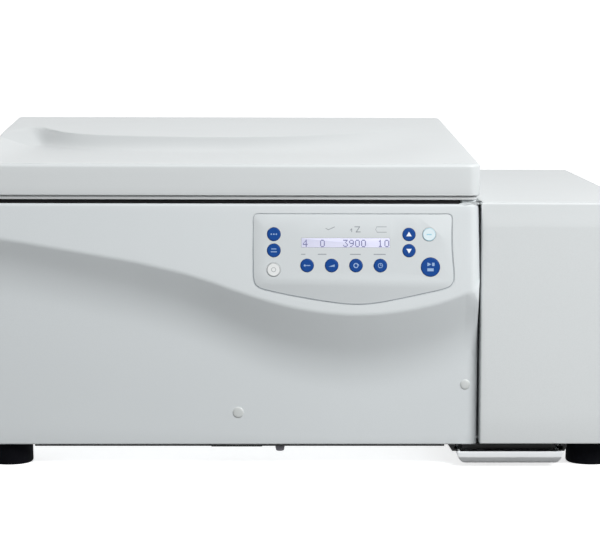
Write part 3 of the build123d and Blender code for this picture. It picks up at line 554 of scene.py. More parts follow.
# ---------------------------------------------------------------- materials
def graph(name):
    m = bpy.data.materials.new(name)
    m.use_nodes = True
    nt = m.node_tree
    nt.nodes.clear()
    out = nt.nodes.new("ShaderNodeOutputMaterial")
    bs = nt.nodes.new("ShaderNodeBsdfPrincipled")
    nt.links.new(bs.outputs[0], out.inputs[0])
    tc = nt.nodes.new("ShaderNodeTexCoord")
    return m, nt, bs, tc.outputs["Object"]


def srgb(r, g, b):
    """sRGB 0-255 to linear."""
    def f(c):
        c /= 255.0
        return c / 12.92 if c <= 0.04045 else ((c + 0.055) / 1.055) ** 2.4
    return (f(r), f(g), f(b), 1.0)


def noise(nt, co, scale, detail=3.0, rough=0.5, stretch=None):
    if stretch:
        mp = nt.nodes.new("ShaderNodeMapping")
        mp.inputs["Scale"].default_value = stretch
        nt.links.new(co, mp.inputs["Vector"])
        co = mp.outputs[0]
    n = nt.nodes.new("ShaderNodeTexNoise")
    n.inputs["Scale"].default_value = scale
    n.inputs["Detail"].default_value = detail
    n.inputs["Roughness"].default_value = rough
    nt.links.new(co, n.inputs["Vector"])
    return n.outputs["Fac"]


def remap(nt, fac, a, b, lo=0.3, hi=0.7):
    r = nt.nodes.new("ShaderNodeMapRange")
    r.inputs["From Min"].default_value, r.inputs["From Max"].default_value = lo, hi
    r.inputs["To Min"].default_value, r.inputs["To Max"].default_value = a, b
    nt.links.new(fac, r.inputs["Value"])
    return r.outputs[0]


def mix_colour(nt, fac, a, b):
    m = nt.nodes.new("ShaderNodeMix")
    m.data_type = "RGBA"
    nt.links.new(fac, m.inputs[0])
    for sock, c in ((m.inputs[6], a), (m.inputs[7], b)):
        if isinstance(c, (tuple, list)):
            sock.default_value = c
        else:
            nt.links.new(c, sock)
    return m.outputs[2]


def bump(nt, bs, height, distance, strength=1.0):
    b = nt.nodes.new("ShaderNodeBump")
    b.inputs["Distance"].default_value = distance
    b.inputs["Strength"].default_value = strength
    nt.links.new(height, b.inputs["Height"])
    nt.links.new(b.outputs[0], bs.inputs["Normal"])


def radial(nt, co, x, y):
    """(radius, height) coordinates about an upright axis, so that a noise makes turned rings."""
    sep = nt.nodes.new("ShaderNodeSeparateXYZ")
    nt.links.new(co, sep.inputs[0])

    def math2(op, a, b=None):
        n = nt.nodes.new("ShaderNodeMath")
        n.operation = op
        for i, s in enumerate((a, b)):
            if s is None:
                continue
            if isinstance(s, (int, float)):
                n.inputs[i].default_value = s
            else:
                nt.links.new(s, n.inputs[i])
        return n.outputs[0]

    dx = math2("SUBTRACT", sep.outputs[0], x)
    dy = math2("SUBTRACT", sep.outputs[1], y)
    r = math2("SQRT", math2("ADD", math2("MULTIPLY", dx, dx), math2("MULTIPLY", dy, dy)))
    comb = nt.nodes.new("ShaderNodeCombineXYZ")
    nt.links.new(r, comb.inputs[0])
    nt.links.new(sep.outputs[2], comb.inputs[1])
    return comb.outputs[0]


def surface(name, colour, rough=0.45, metal=0.0, tint=0.035, patch=7.0, speck=0.0, speck_scale=900.0, rough_vary=0.06,
            grain=0.0, grain_scale=1800.0, peel=0.0, peel_scale=260.0, spec=0.5, coat=0.0, coat_rough=0.1,
            brushed=None, brush=0.0, warm=0.0, ior=1.45, aniso=0.0):
    """A finished surface: its colour varies softly and in fine specks, its gloss is uneven, and a fine relief breaks the light."""
    m, nt, bs, co = graph(name)
    base = srgb(*colour)
    dark = tuple(c * (1 - tint * 1.6) for c in base[:3]) + (1.0,)
    light = (min(base[0] * (1 + tint + warm), 1), min(base[1] * (1 + tint), 1), min(base[2] * (1 + tint - warm), 1), 1.0)
    c = mix_colour(nt, remap(nt, noise(nt, co, patch, 4.0, 0.55), 0.0, 1.0), dark, light)
    if speck > 0:
        spots = remap(nt, noise(nt, co, speck_scale, 2.0, 0.6), 0.0, 1.0, 0.42, 0.66)
        darker = tuple(x * (1 - speck) for x in base[:3]) + (1.0,)
        c = mix_colour(nt, spots, c, darker)
    if brushed is not None:
        co2 = radial(nt, co, XC * MM, YC * MM) if brushed == "turned" else co
        stretch = {"x": (6, 900, 900), "y": (900, 6, 900), "z": (900, 900, 6), "turned": (900, 900, 1)}[brushed]
        lines = noise(nt, co2, 1.0, 4.0, 0.6, stretch)
        c = mix_colour(nt, remap(nt, lines, 0.0, 1.0, 0.25, 0.75), tuple(x * (1 - brush) for x in base[:3]) + (1.0,), c)
        r = remap(nt, lines, max(rough - rough_vary, 0.02), rough + rough_vary, 0.25, 0.75)
        bump(nt, bs, lines, 0.00002, 0.5)
    else:
        r = remap(nt, noise(nt, co, 23.0, 5.0, 0.6), max(rough - rough_vary, 0.02), rough + rough_vary)
        h = None
        if grain > 0:
            h = noise(nt, co, grain_scale, 2.0, 0.55)
            g = grain
        if peel > 0:
            h2 = noise(nt, co, peel_scale, 2.0, 0.45)
            if h is None:
                h, g = h2, peel
            else:
                mx = nt.nodes.new("ShaderNodeMath")
                mx.operation = "MULTIPLY_ADD"
                nt.links.new(h2, mx.inputs[0])
                mx.inputs[1].default_value = peel / grain
                nt.links.new(h, mx.inputs[2])
                h = mx.outputs[0]
        if h is not None:
            bump(nt, bs, h, g * MM, 1.0)
    nt.links.new(c, bs.inputs["Base Color"])
    nt.links.new(r, bs.inputs["Roughness"])
    bs.inputs["Metallic"].default_value = metal
    bs.inputs["Specular IOR Level"].default_value = spec
    bs.inputs["IOR"].default_value = ior
    if coat > 0:
        bs.inputs["Coat Weight"].default_value = coat
        bs.inputs["Coat Roughness"].default_value = coat_rough
    if aniso > 0:
        bs.inputs["Anisotropic"].default_value = aniso
    m.diffuse_color = base
    return m


HOUSING = (212, 217, 219)
M = {
    "housing": surface("moulded_housing", HOUSING, 0.42, tint=0.012, patch=5.0, speck=0.02, speck_scale=1500, rough_vary=0.03,
                       grain=0.008, grain_scale=2600),
    "lid": surface("moulded_lid", (213, 217, 218), 0.29, tint=0.012, patch=3.0, rough_vary=0.01),
    "steel_cover": surface("powder_coated_steel", (212, 216, 217), 0.3, tint=0.01, patch=5.0, speck=0.025, speck_scale=1100,
                           rough_vary=0.008),
    "liner": surface("lid_liner_plastic", (214, 217, 218), 0.4, tint=0.015, patch=8.0, speck=0.02, grain=0.01, grain_scale=2400,
                     peel=0.01, peel_scale=400),
    "overlay": surface("overlay_film", (208, 213, 215), 0.58, spec=0.3, tint=0.008, patch=9.0, speck=0.012, speck_scale=2200, rough_vary=0.03,
                       grain=0.006, grain_scale=3200),
    "display": surface("display_window", (228, 229, 252), 0.3, tint=0.02, patch=30.0, speck=0.02, speck_scale=2600, rough_vary=0.04,
                       coat=0.6, coat_rough=0.05),
    "digits": surface("display_dots", (120, 122, 168), 0.4, tint=0.05, patch=60.0, rough_vary=0.05),
    "key_blue": surface("key_blue", (0, 66, 142), 0.42, tint=0.06, patch=40.0, speck=0.06, speck_scale=2000, rough_vary=0.06,
                        grain=0.006, grain_scale=2600, spec=0.3),
    "key_pale": surface("key_pale", (222, 236, 241), 0.36, tint=0.02, patch=40.0, speck=0.02, grain=0.006, grain_scale=2600),
    "key_grey": surface("key_grey", (229, 231, 231), 0.42, tint=0.012, patch=30.0, speck=0.015, grain=0.006, grain_scale=2600),
    "print_white": surface("print_white", (236, 240, 246), 0.5, tint=0.02, patch=80.0, rough_vary=0.05),
    "print_grey": surface("print_grey", (176, 181, 182), 0.5, tint=0.03, patch=80.0, rough_vary=0.05),
    # grey ink for the plain marks, also used as painted shade for the line round the overlay's edge
    "print_and_groove_shade": surface("print_and_groove_shade", (150, 156, 162), 0.5, tint=0.03, patch=80.0, rough_vary=0.05),
    "print_blue": surface("print_blue", (150, 178, 214), 0.5, tint=0.03, patch=80.0, rough_vary=0.05),
    "print_cyan": surface("print_cyan", (150, 205, 222), 0.45, tint=0.03, patch=80.0, rough_vary=0.05),
    "print_dark": surface("print_dark", (96, 101, 104), 0.5, tint=0.03, patch=80.0, rough_vary=0.05),
    "plug": surface("blind_plug_plastic", (206, 210, 209), 0.45, tint=0.02, patch=50.0, speck=0.03, grain=0.01, grain_scale=2400),
    "board": surface("circuit_board", (22, 84, 52), 0.38, tint=0.12, patch=60.0, speck=0.15, speck_scale=500, rough_vary=0.08,
                     coat=0.3, coat_rough=0.2),
    "rubber": surface("black_rubber", (8, 9, 14), 0.85, tint=0.15, patch=18.0, speck=0.2, speck_scale=800, rough_vary=0.12,
                      grain=0.03, grain_scale=1200, spec=0.08),
    "seal": surface("seal_rubber", (7, 7, 8), 0.6, tint=0.12, patch=14.0, speck=0.15, speck_scale=900, rough_vary=0.1,
                    grain=0.02, grain_scale=1500, spec=0.2),
    "black_plastic": surface("black_plastic", (17, 18, 20), 0.42, spec=0.3, tint=0.12, patch=16.0, speck=0.15, speck_scale=1300,
                             rough_vary=0.08, grain=0.02, grain_scale=1700),
    "sheet_steel": surface("galvanised_sheet", (172, 176, 178), 0.38, 0.95, tint=0.09, patch=32.0, speck=0.06, speck_scale=220,
                           rough_vary=0.1, grain=0.004, grain_scale=900),
    "stainless": surface("spun_stainless", (196, 198, 199), 0.26, 1.0, tint=0.03, patch=6.0, rough_vary=0.07, brushed="turned",
                         brush=0.12),
    "armour": surface("armour_steel", (110, 112, 114), 0.5, 0.9, tint=0.12, patch=12.0, speck=0.12, speck_scale=300, rough_vary=0.12,
                      grain=0.01, grain_scale=900),
    "machined_steel": surface("machined_steel", (186, 187, 188), 0.24, 1.0, tint=0.04, patch=25.0, rough_vary=0.08,
                              brushed="z", brush=0.1),
    "foam": surface("rigid_foam", (236, 226, 190), 0.85, tint=0.06, patch=25.0, speck=0.12, speck_scale=500, grain=0.15,
                    grain_scale=700, spec=0.2, warm=0.02),
    "copper": surface("copper_tube", (196, 122, 88), 0.3, 1.0, tint=0.12, patch=30.0, speck=0.08, speck_scale=400, rough_vary=0.12,
                      warm=0.03),
    "cast_alloy": surface("cast_alloy", (168, 170, 171), 0.45, 0.95, tint=0.07, patch=25.0, speck=0.08, speck_scale=500,
                          rough_vary=0.1, grain=0.03, grain_scale=900),
    "rotor_alloy": surface("rotor_anodised", (62, 66, 72), 0.36, 0.75, tint=0.06, patch=14.0, speck=0.05, speck_scale=1400,
                           rough_vary=0.07, brushed="turned", brush=0.15),
    "bucket_alloy": surface("bucket_alloy", (178, 181, 184), 0.3, 1.0, tint=0.05, patch=16.0, speck=0.04, speck_scale=1400,
                            rough_vary=0.08, grain=0.003, grain_scale=1500),
    "fins": surface("condenser_fins", (190, 192, 193), 0.34, 1.0, tint=0.08, patch=20.0, speck=0.05, speck_scale=600, rough_vary=0.1),
    "black_steel": surface("black_enamel_steel", (24, 25, 27), 0.36, 0.0, tint=0.12, patch=14.0, speck=0.1, speck_scale=600,
                           rough_vary=0.1, peel=0.02, peel_scale=300, coat=0.3, coat_rough=0.15),
    "tray": surface("tray_plastic", (240, 243, 245), 0.3, tint=0.015, patch=14.0, speck=0.02, grain=0.008, grain_scale=2000),
    "pull": surface("pull_plastic", (158, 155, 166), 0.4, tint=0.05, patch=50.0, speck=0.05, grain=0.01, grain_scale=2000),
    "terminal": surface("terminal_brass", (205, 190, 140), 0.3, 1.0, tint=0.05, patch=60.0, rough_vary=0.08),
    "label": surface("plain_plate", (214, 216, 217), 0.4, tint=0.02, patch=30.0, speck=0.03),
}

# every carried-over node wears the finish of its own slot
for name, ob in NODES.items():
    for s in ob.material_slots:
        got = s.material.name if s.material else ""
        key = got.split(".")[0]
        if key in M:
            s.material = M[key]
        else:
            print("NO FINISH for", name, repr(got))

# ---------------------------------------------------------------- front panel
sweep_z = pchip(SWEEP)
BLEND_R, BLEND_A = 140.0, math.radians(20.0)
CREASE = 2.6


def panel_y(x, z):
    ze = sweep_z(x)
    u = z - ze
    if u >= CREASE:
        return Y_PANEL - (Z_TOP - z) * TAN
    ye = Y_PANEL - (Z_TOP - ze) * TAN
    t20 = math.tan(BLEND_A)
    if u > -CREASE:
        b = (TAN - t20) / 2
        a = (TAN + t20) / (4 * CREASE)
        return ye + TAN * CREASE - b * CREASE - a * CREASE ** 2 + b * u + a * u * u
    depth = Y_LOWER - ye
    straight = max((depth - BLEND_R * (1 - math.cos(BLEND_A))) / t20, 0.5)
    run = BLEND_R * math.sin(BLEND_A)
    s = -u
    if s <= straight:
        return ye + s * t20
    if s <= straight + run:
        return Y_LOWER - (BLEND_R - math.sqrt(BLEND_R ** 2 - (run - (s - straight)) ** 2))
    return Y_LOWER


def panel_levels(x):
    """Rows down the panel at x, as (z, inward) pairs, the same number at every x."""
    ze = sweep_z(x)
    ye = Y_PANEL - (Z_TOP - ze) * TAN
    straight = max((Y_LOWER - ye - BLEND_R * (1 - math.cos(BLEND_A))) / math.tan(BLEND_A), 0.5)
    run = BLEND_R * math.sin(BLEND_A)
    rows = []
    r = 3.0
    zc = Z_TOP - r
    yc = Y_PANEL - r * TAN + r / COS
    for k in range(7):
        a = math.radians(90 + 84 * k / 6)
        z = zc + r * math.sin(a)
        rows.append((z, max(yc + r * math.cos(a) - (Y_PANEL - (Z_TOP - z) * TAN), 0.0)))
    z0 = rows[-1][0]
    rows += [(z, 0.0) for z in lin(z0, ze + CREASE, 12)[1:]]
    rows += [(ze + CREASE * u, 0.0) for u in (0.75, 0.5, 0.25, 0.0, -0.25, -0.5, -0.75, -1.0)]
    rows += [(ze - s, 0.0) for s in lin(CREASE, straight, 4)[1:]]
    rows += [(ze - straight - s, 0.0) for s in lin(0, run, 13)[1:]]
    rows += [(z, 0.0) for z in lin(ze - straight - run, Z_BOTTOM + 1.3, 9)[1:]]
    for k in range(1, 6):
        a = math.pi / 2 * k / 5
        rows.append((Z_BOTTOM + 1.3 * (1 - math.sin(a)), 1.3 * (1 - math.cos(a))))
    return rows


def build_panel():
    cols = []                                          # nominal x, side (-1, 0, 1), turn of the corner 0..1, way back 0..1
    back = -262.4
    for side in (-1, 1):
        part = [(X_LEFT if side < 0 else X_BODY, side, 0.0, t) for t in (1.0, 0.75, 0.5, 0.25)]
        for k in range(10):
            a = math.pi / 2 * k / 9
            x = X_LEFT + CORNER_R * (1 - math.cos(a)) if side < 0 else X_BODY - CORNER_R * (1 - math.cos(a))
            part.append((x, side, a, 0.0))
        if side < 0:
            cols += part
            xs = lin(X_LEFT + CORNER_R, 140.0, 118)[1:] + lin(140.0, X_BODY - CORNER_R, 17)[1:-1]
            cols += [(x, 0, math.pi / 2, 0.0) for x in xs]
        else:
            cols += part[::-1]
    grid, v = [], []
    for xn, side, a, t in cols:
        line = []
        ze = sweep_z(xn)
        for z, d in panel_levels(xn):
            x, c = xn, 0.0
            if side < 0:
                c = CORNER_R * (1 - math.sin(a))
            elif side > 0:
                # the raised field flares out towards its lower edge; below it the corner is a sharp one
                low = ease((ze + 2.0 - z) / 9.0)
                r = lerp(10.5, 1.6, low)
                flare = 183.7 + 0.8 * min(max((Z_TOP - z) / 84.0, 0.0), 1.0)
                x = lerp(flare, 183.9 - 0.6 * min(max((190.0 - z) / 166.0, 0.0), 1.0), low) - r * (1 - math.cos(a))
                c = r * (1 - math.sin(a))
            y = panel_y(xn, min(z, Z_TOP)) + c
            if t > 0:
                y = y + (back - y) * t
            line.append(len(v))
            v.append((x - side * math.cos(a) * d, y + math.sin(a) * d, z))
        grid.append(line)
    f = []
    for i in range(len(grid) - 1):
        for j in range(len(grid[0]) - 1):
            f.append((grid[i][j], grid[i + 1][j], grid[i + 1][j + 1], grid[i][j + 1]))
    f.append(tuple(line[0] for line in grid))
    s = Soup()
    s.add((v, f))
    ob = s.obj("front_panel_shell", [M["housing"]])
    # the face normals have to look outwards before the shell gets its thickness
    if ob.data.polygons[len(ob.data.polygons) // 2].normal.y > 0:
        ob.data.flip_normals()
    shell(ob, 2.7)
    pocket = Soup().add(prism(OUTLINE, -0.85, 4.0), at=field).obj("pocket")
    cut(ob, pocket)
    holes = Soup()
    for _, _, x, z, d in KEYS:
        holes.add(lathe([(0, 4), (d / 2 + 0.45, 4), (d / 2 + 0.45, -9), (0, -9)], 48), at=key_place(x, z))
    holes.add(prism(fillet2([(LCD[0] - 0.3, LCD[2] - 0.3), (LCD[1] + 0.3, LCD[2] - 0.3), (LCD[1] + 0.3, LCD[3] + 0.3),
                             (LCD[0] - 0.3, LCD[3] + 0.3)], 0.8, 4), -9, 4), at=field)
    for x, z, r in ((-68.3, 57.7, 5.9), (171.0, 87.6, 5.4)):
        holes.add(lathe([(0, 12), (r - 1.2, 12), (r - 1.2, -15), (0, -15)], 40), at=place_y(x, Y_LOWER, z))
    for x in LATCH_X:
        holes.add(rbox(x - 8, x + 8, -276, -255, 270, 290, 1.0))
    cut(ob, holes.obj("holes"))
    block = Soup().add(prism(rounded(164.6, 180.6, -288.0, -266.0, 2.5), Z_TOP - 1.0, Z_TOP + 4.0, 0.8, 3, 0.0)).obj("corner_block", [M["housing"]])
    cut(ob, block, op="UNION")
    return place(ob, "frame", ["front_panel"], 32)


OUTLINE = spline_loop(OVERLAY, 5)
build_panel()


# ---------------------------------------------------------------- lid cover
line_y, width_y = pchip(LINE), pchip(WIDTH)
FLOOR_F, FLOOR_R = 320.6, 321.6


def lid_top(x, y):
    p = Z_LID_TOP - LID_FALL * (282.0 - min(y, 282.0))
    floor = FLOOR_F + (FLOOR_R - FLOOR_F) * (y - Y_LID_F) / 400.0
    t = min(max((line_y(x) - y) / width_y(x), 0.0), 1.0)
    s = 1 - (1 - t) ** 2
    b = ease((x - X_LEFT - 0.36 * max(y - 30.0, 0.0) + 14.0) / 62.0) * ease((X_BODY - x) / 130.0)
    return p - max(p - floor, 0.0) * s * b


def build_lid():
    x0, x1, y0, y1, R = X_LEFT, X_BODY, Y_LID_F, Y_LID_R, CORNER_R
    xs = lin(x0 + R, x1 - R, 125)
    ys = lin(y0 + R, y1 - R, 141)
    m = 8
    loop = []                                          # x, y, nx, ny (inward), edge radius, grid index for the inner loop
    for i, x in enumerate(xs[:-1]):
        loop.append((x, y0, 0, 1, 4.0))
    for k in range(m):
        a = math.pi / 2 * k / m
        loop.append((x1 - R + R * math.sin(a), y0 + R - R * math.cos(a), -math.sin(a), math.cos(a), 4.0))
    for y in ys[:-1]:
        loop.append((x1, y, -1, 0, 4.0))
    for k in range(m):
        a = math.pi / 2 * k / m
        loop.append((x1 - R + R * math.cos(a), y1 - R + R * math.sin(a), -math.cos(a), -math.sin(a), lerp(4.0, 8.0, ease(k / m))))
    for x in xs[::-1][:-1]:
        loop.append((x, y1, 0, -1, 8.0))
    for k in range(m):
        a = math.pi / 2 * k / m
        loop.append((x0 + R - R * math.sin(a), y1 - R + R * math.cos(a), math.sin(a), -math.cos(a), lerp(8.0, 4.0, ease(k / m))))
    for y in ys[::-1][:-1]:
        loop.append((x0, y, 1, 0, 4.0))
    for k in range(m):
        a = math.pi / 2 * k / m
        loop.append((x0 + R - R * math.cos(a), y0 + R - R * math.sin(a), math.cos(a), math.sin(a), 4.0))
    n = len(loop)
    v, f = [], []
    rings = []
    # lower edge with a small radius, the upright side, the rounded edge
    for d, z in ((1.6, Z_LID), (1.0, Z_LID), (0.5, Z_LID + 0.13), (0.13, Z_LID + 0.5), (0.0, Z_LID + 1.0)):
        ring = []
        for x, y, nx, ny, e in loop:
            ring.append(len(v))
            v.append((x + nx * d, y + ny * d, z))
        rings.append(ring)
    for t in (0.35, 0.7):
        ring = []
        for x, y, nx, ny, e in loop:
            top = lid_top(x + nx * e, y + ny * e) - e
            ring.append(len(v))
            v.append((x, y, lerp(Z_LID + 1.0, top, t)))
        rings.append(ring)
    for k in range(8):
        a = math.pi / 2 * k / 7
        ring = []
        for x, y, nx, ny, e in loop:
            d = e * (1 - math.cos(a))
            px, py = x + nx * d, y + ny * d
            ring.append(len(v))
            v.append((px, py, lid_top(px, py) - e * (1 - math.sin(a))))
        rings.append(ring)
    for a, b in zip(rings, rings[1:]):
        for k in range(n):
            f.append((a[k], a[(k + 1) % n], b[(k + 1) % n], b[k]))
    inner = rings[-1]
    # the flat of the top: a grid whose outer lines stand in line with the loop
    gx, gy = len(xs), len(ys)
    grid = [[None] * gy for _ in range(gx)]
    for i in range(gx):
        for j in range(gy):
            grid[i][j] = len(v)
            v.append((xs[i], ys[j], lid_top(xs[i], ys[j])))
    for i in range(gx - 1):
        for j in range(gy - 1):
            f.append((grid[i][j], grid[i + 1][j], grid[i + 1][j + 1], grid[i][j + 1]))
    s0 = 0
    f += [(inner[s0 + i], inner[s0 + i + 1], grid[i + 1][0], grid[i][0]) for i in range(gx - 1)]
    c0 = s0 + gx - 1
    f += [(inner[c0 + k], inner[c0 + k + 1], grid[-1][0]) for k in range(m)]
    s1 = c0 + m
    f += [(inner[s1 + j], inner[s1 + j + 1], grid[-1][j + 1], grid[-1][j]) for j in range(gy - 1)]
    c1 = s1 + gy - 1
    f += [(inner[c1 + k], inner[c1 + k + 1], grid[-1][-1]) for k in range(m)]
    s2 = c1 + m
    f += [(inner[s2 + i], inner[s2 + i + 1], grid[gx - 2 - i][-1], grid[gx - 1 - i][-1]) for i in range(gx - 1)]
    c2 = s2 + gx - 1
    f += [(inner[c2 + k], inner[c2 + k + 1], grid[0][-1]) for k in range(m)]
    s3 = c2 + m
    f += [(inner[s3 + j], inner[(s3 + j + 1) % n], grid[0][gy - 2 - j], grid[0][gy - 1 - j]) for j in range(gy - 1)]
    c3 = s3 + gy - 1
    f += [(inner[(c3 + k) % n], inner[(c3 + k + 1) % n], grid[0][0]) for k in range(m)]
    ob = Soup().add((v, f)).obj("lid_cover_shell", [M["lid"]])
    top = max(ob.data.polygons, key=lambda p: p.center.z)
    if top.normal.z < 0:
        ob.data.flip_normals()
    shell(ob, 3.4)
    return place(ob, "lid", ["lid_cover"], 40)


build_lid()


# ---------------------------------------------------------------- cooling unit cover
def build_unit():
    x0, x1, yf, yr = X_UNIT, X_RIGHT, -295.0, Y_REAR
    rl, rr = 2.0, CORNER_R
    path = []                                          # x, y, inward normal, edge radius, share of the front's lean
    for y in lin(yr, yf + rl, 26)[:-1]:
        path.append((x0, y, 1, 0, 2.0, 0.0))
    for k in range(5):
        a = math.pi / 2 * k / 4
        path.append((x0 + rl - rl * math.cos(a), yf + rl - rl * math.sin(a), math.cos(a), math.sin(a), lerp(2.0, 2.6, k / 4), math.sin(a)))
    for x in lin(x0 + rl, x1 - rr, 30)[1:-1]:
        path.append((x, yf, 0, 1, 2.6, 1.0))
    for k in range(11):
        a = math.pi / 2 * k / 10
        path.append((x1 - rr + rr * math.sin(a), yf + rr - rr * math.cos(a), -math.sin(a), math.cos(a), lerp(2.6, 4.5, k / 10), math.cos(a)))
    for y in lin(yf + rr, yr, 26)[1:]:
        path.append((x1, y, -1, 0, 4.5, 0.0))
    levels = [("b", k) for k in range(5)] + [("w", z) for z in (60, 100, 140, 180, 220, 250, 253, 254.6, 255.4, 256.4, 258, 262, 266, 270)] + [("t", k) for k in range(8)]

    def lean(z):
        if z <= 254.5:
            return 0.0
        if z <= 256.5:
            return 0.26 / 4 * (z - 254.5) ** 2 / 2
        return 0.065 + (z - 256.5) * 0.125

    v, grid = [], []
    for x, y, nx, ny, e, w in path:
        line = []
        for kind, k in levels:
            if kind == "b":
                a = math.pi / 2 * k / 4
                d, z = 1.2 * (1 - math.sin(a)), Z_UNIT_BOTTOM + 1.2 * (1 - math.cos(a))
            elif kind == "w":
                z, d = k, 0.0
            else:
                a = math.pi / 2 * k / 7
                z, d = Z_UNIT - e * (1 - math.sin(a)), e * (1 - math.cos(a))
            line.append(len(v))
            v.append((x + nx * d, y + ny * d + w * lean(min(z, 277.5)), z))
        grid.append(line)
    f = []
    for i in range(len(grid) - 1):
        for j in range(len(grid[0]) - 1):
            f.append((grid[i][j], grid[i + 1][j], grid[i + 1][j + 1], grid[i][j + 1]))
    f.append(tuple(line[-1] for line in grid))
    ob = Soup().add((v, f)).obj("cooling_unit_shell", [M["steel_cover"]])
    top = max(ob.data.polygons, key=lambda p: p.center.z + p.area * 100)
    if top.normal.z < 0:
        ob.data.flip_normals()
    shell(ob, 1.9)
    slots = Soup()
    for ya in (-60, 40, 140):
        for z in range(60, 200, 14):
            poly = fillet2([(ya, z), (ya + 70, z), (ya + 70, z + 5), (ya, z + 5)], 2.45, 6)
            slots.add(prism(poly, -8.0, 8.0), at=lambda u, w, q: (X_RIGHT + q, u, w))
    slots.add(rbox(181, 188.6, -281, 300, 10, 31.1, 0.5))
    for y, z in ((40, 120), (68, 120)):
        slots.add(lathe([(0, 8), (6, 8), (6, -8), (0, -8)], 32), at=place_x(X_UNIT, y, z))
    slots.add(lathe([(0, 8), (6, 8), (6, -8), (0, -8)], 32), at=place_x(X_UNIT, -150, 50))
    cut(ob, slots.obj("slots"))
    return place(ob, "frame", ["cooling_unit_cover"], 32)


build_unit()


# ---------------------------------------------------------------- housing cover: left side and back of the body
def build_cover():
    R = CORNER_R
    path = []
    for y in lin(-262.0, Y_REAR - R, 24)[:-1]:
        path.append((X_LEFT, y, 1, 0))
    for k in range(11):
        a = math.pi / 2 * k / 10
        path.append((X_LEFT + R - R * math.cos(a), Y_REAR - R + R * math.sin(a), math.cos(a), -math.sin(a)))
    for x in lin(X_LEFT + R, X_BODY, 24)[1:]:
        path.append((x, Y_REAR, 0, -1))
    v, grid = [], []
    zs = [(Z_BOTTOM, 1.2), (Z_BOTTOM, 0.8), (Z_BOTTOM + 0.24, 0.24), (Z_BOTTOM + 0.8, 0.0)] + [(z, 0.0) for z in lin(40, 270, 12)] + [
        (274.8, 0.0), (275.36, 0.24), (275.6, 0.8), (275.6, 1.2)]
    for x, y, nx, ny in path:
        line = []
        for z, d in zs:
            line.append(len(v))
            v.append((x + nx * d, y + ny * d, z))
        grid.append(line)
    f = [(grid[i][j], grid[i + 1][j], grid[i + 1][j + 1], grid[i][j + 1])
         for i in range(len(grid) - 1) for j in range(len(zs) - 1)]
    ob = Soup().add((v, f)).obj("housing_cover_shell", [M["steel_cover"]])
    if ob.data.polygons[3].normal.x > 0:
        ob.data.flip_normals()
    shell(ob, 1.9)
    slots = Soup()
    for i in range(14):
        y = -60 + 16 * i
        slots.add(prism(fillet2([(y, 60), (y + 6, 60), (y + 6, 120), (y, 120)], 2.9, 6), -8, 8), at=lambda u, w, q: (X_LEFT + q, u, w))
    slots.add(rbox(-332, -256, 280, 300, 48, 78, 0.6))
    for x, z in REAR_SCREWS:
        slots.add(lathe([(0, 8), (2.2, 8), (2.2, -8), (0, -8)], 24), at=place_y(x, Y_REAR, z))
    for hx in HINGE_X:
        for s in (-15, 15):
            for z in (242, 258):
                slots.add(lathe([(0, 8), (2.7, 8), (2.7, -8), (0, -8)], 24), at=place_y(hx + s, Y_REAR, z))
    cut(ob, slots.obj("slots"))
    return place(ob, "frame", ["housing_cover"], 32)


REAR_SCREWS = [(-335, 262), (-165, 262), (0, 262), (165, 262), (-165, 42), (0, 42), (165, 42)]
GRILLE_SCREWS = [(198, 264), (338, 264), (198, 42), (338, 42)]
build_cover()

# ---------------------------------------------------------------- control overlay with its plain marks and a painted shade line round its edge
def box2(x0, x1, z0, z1):
    return [(x0, z0), (x1, z0), (x1, z1), (x0, z1)]


def disc2(x, z, r, n=28):
    return [(x + r * math.cos(2 * math.pi * k / n), z + r * math.sin(2 * math.pi * k / n)) for k in range(n)]


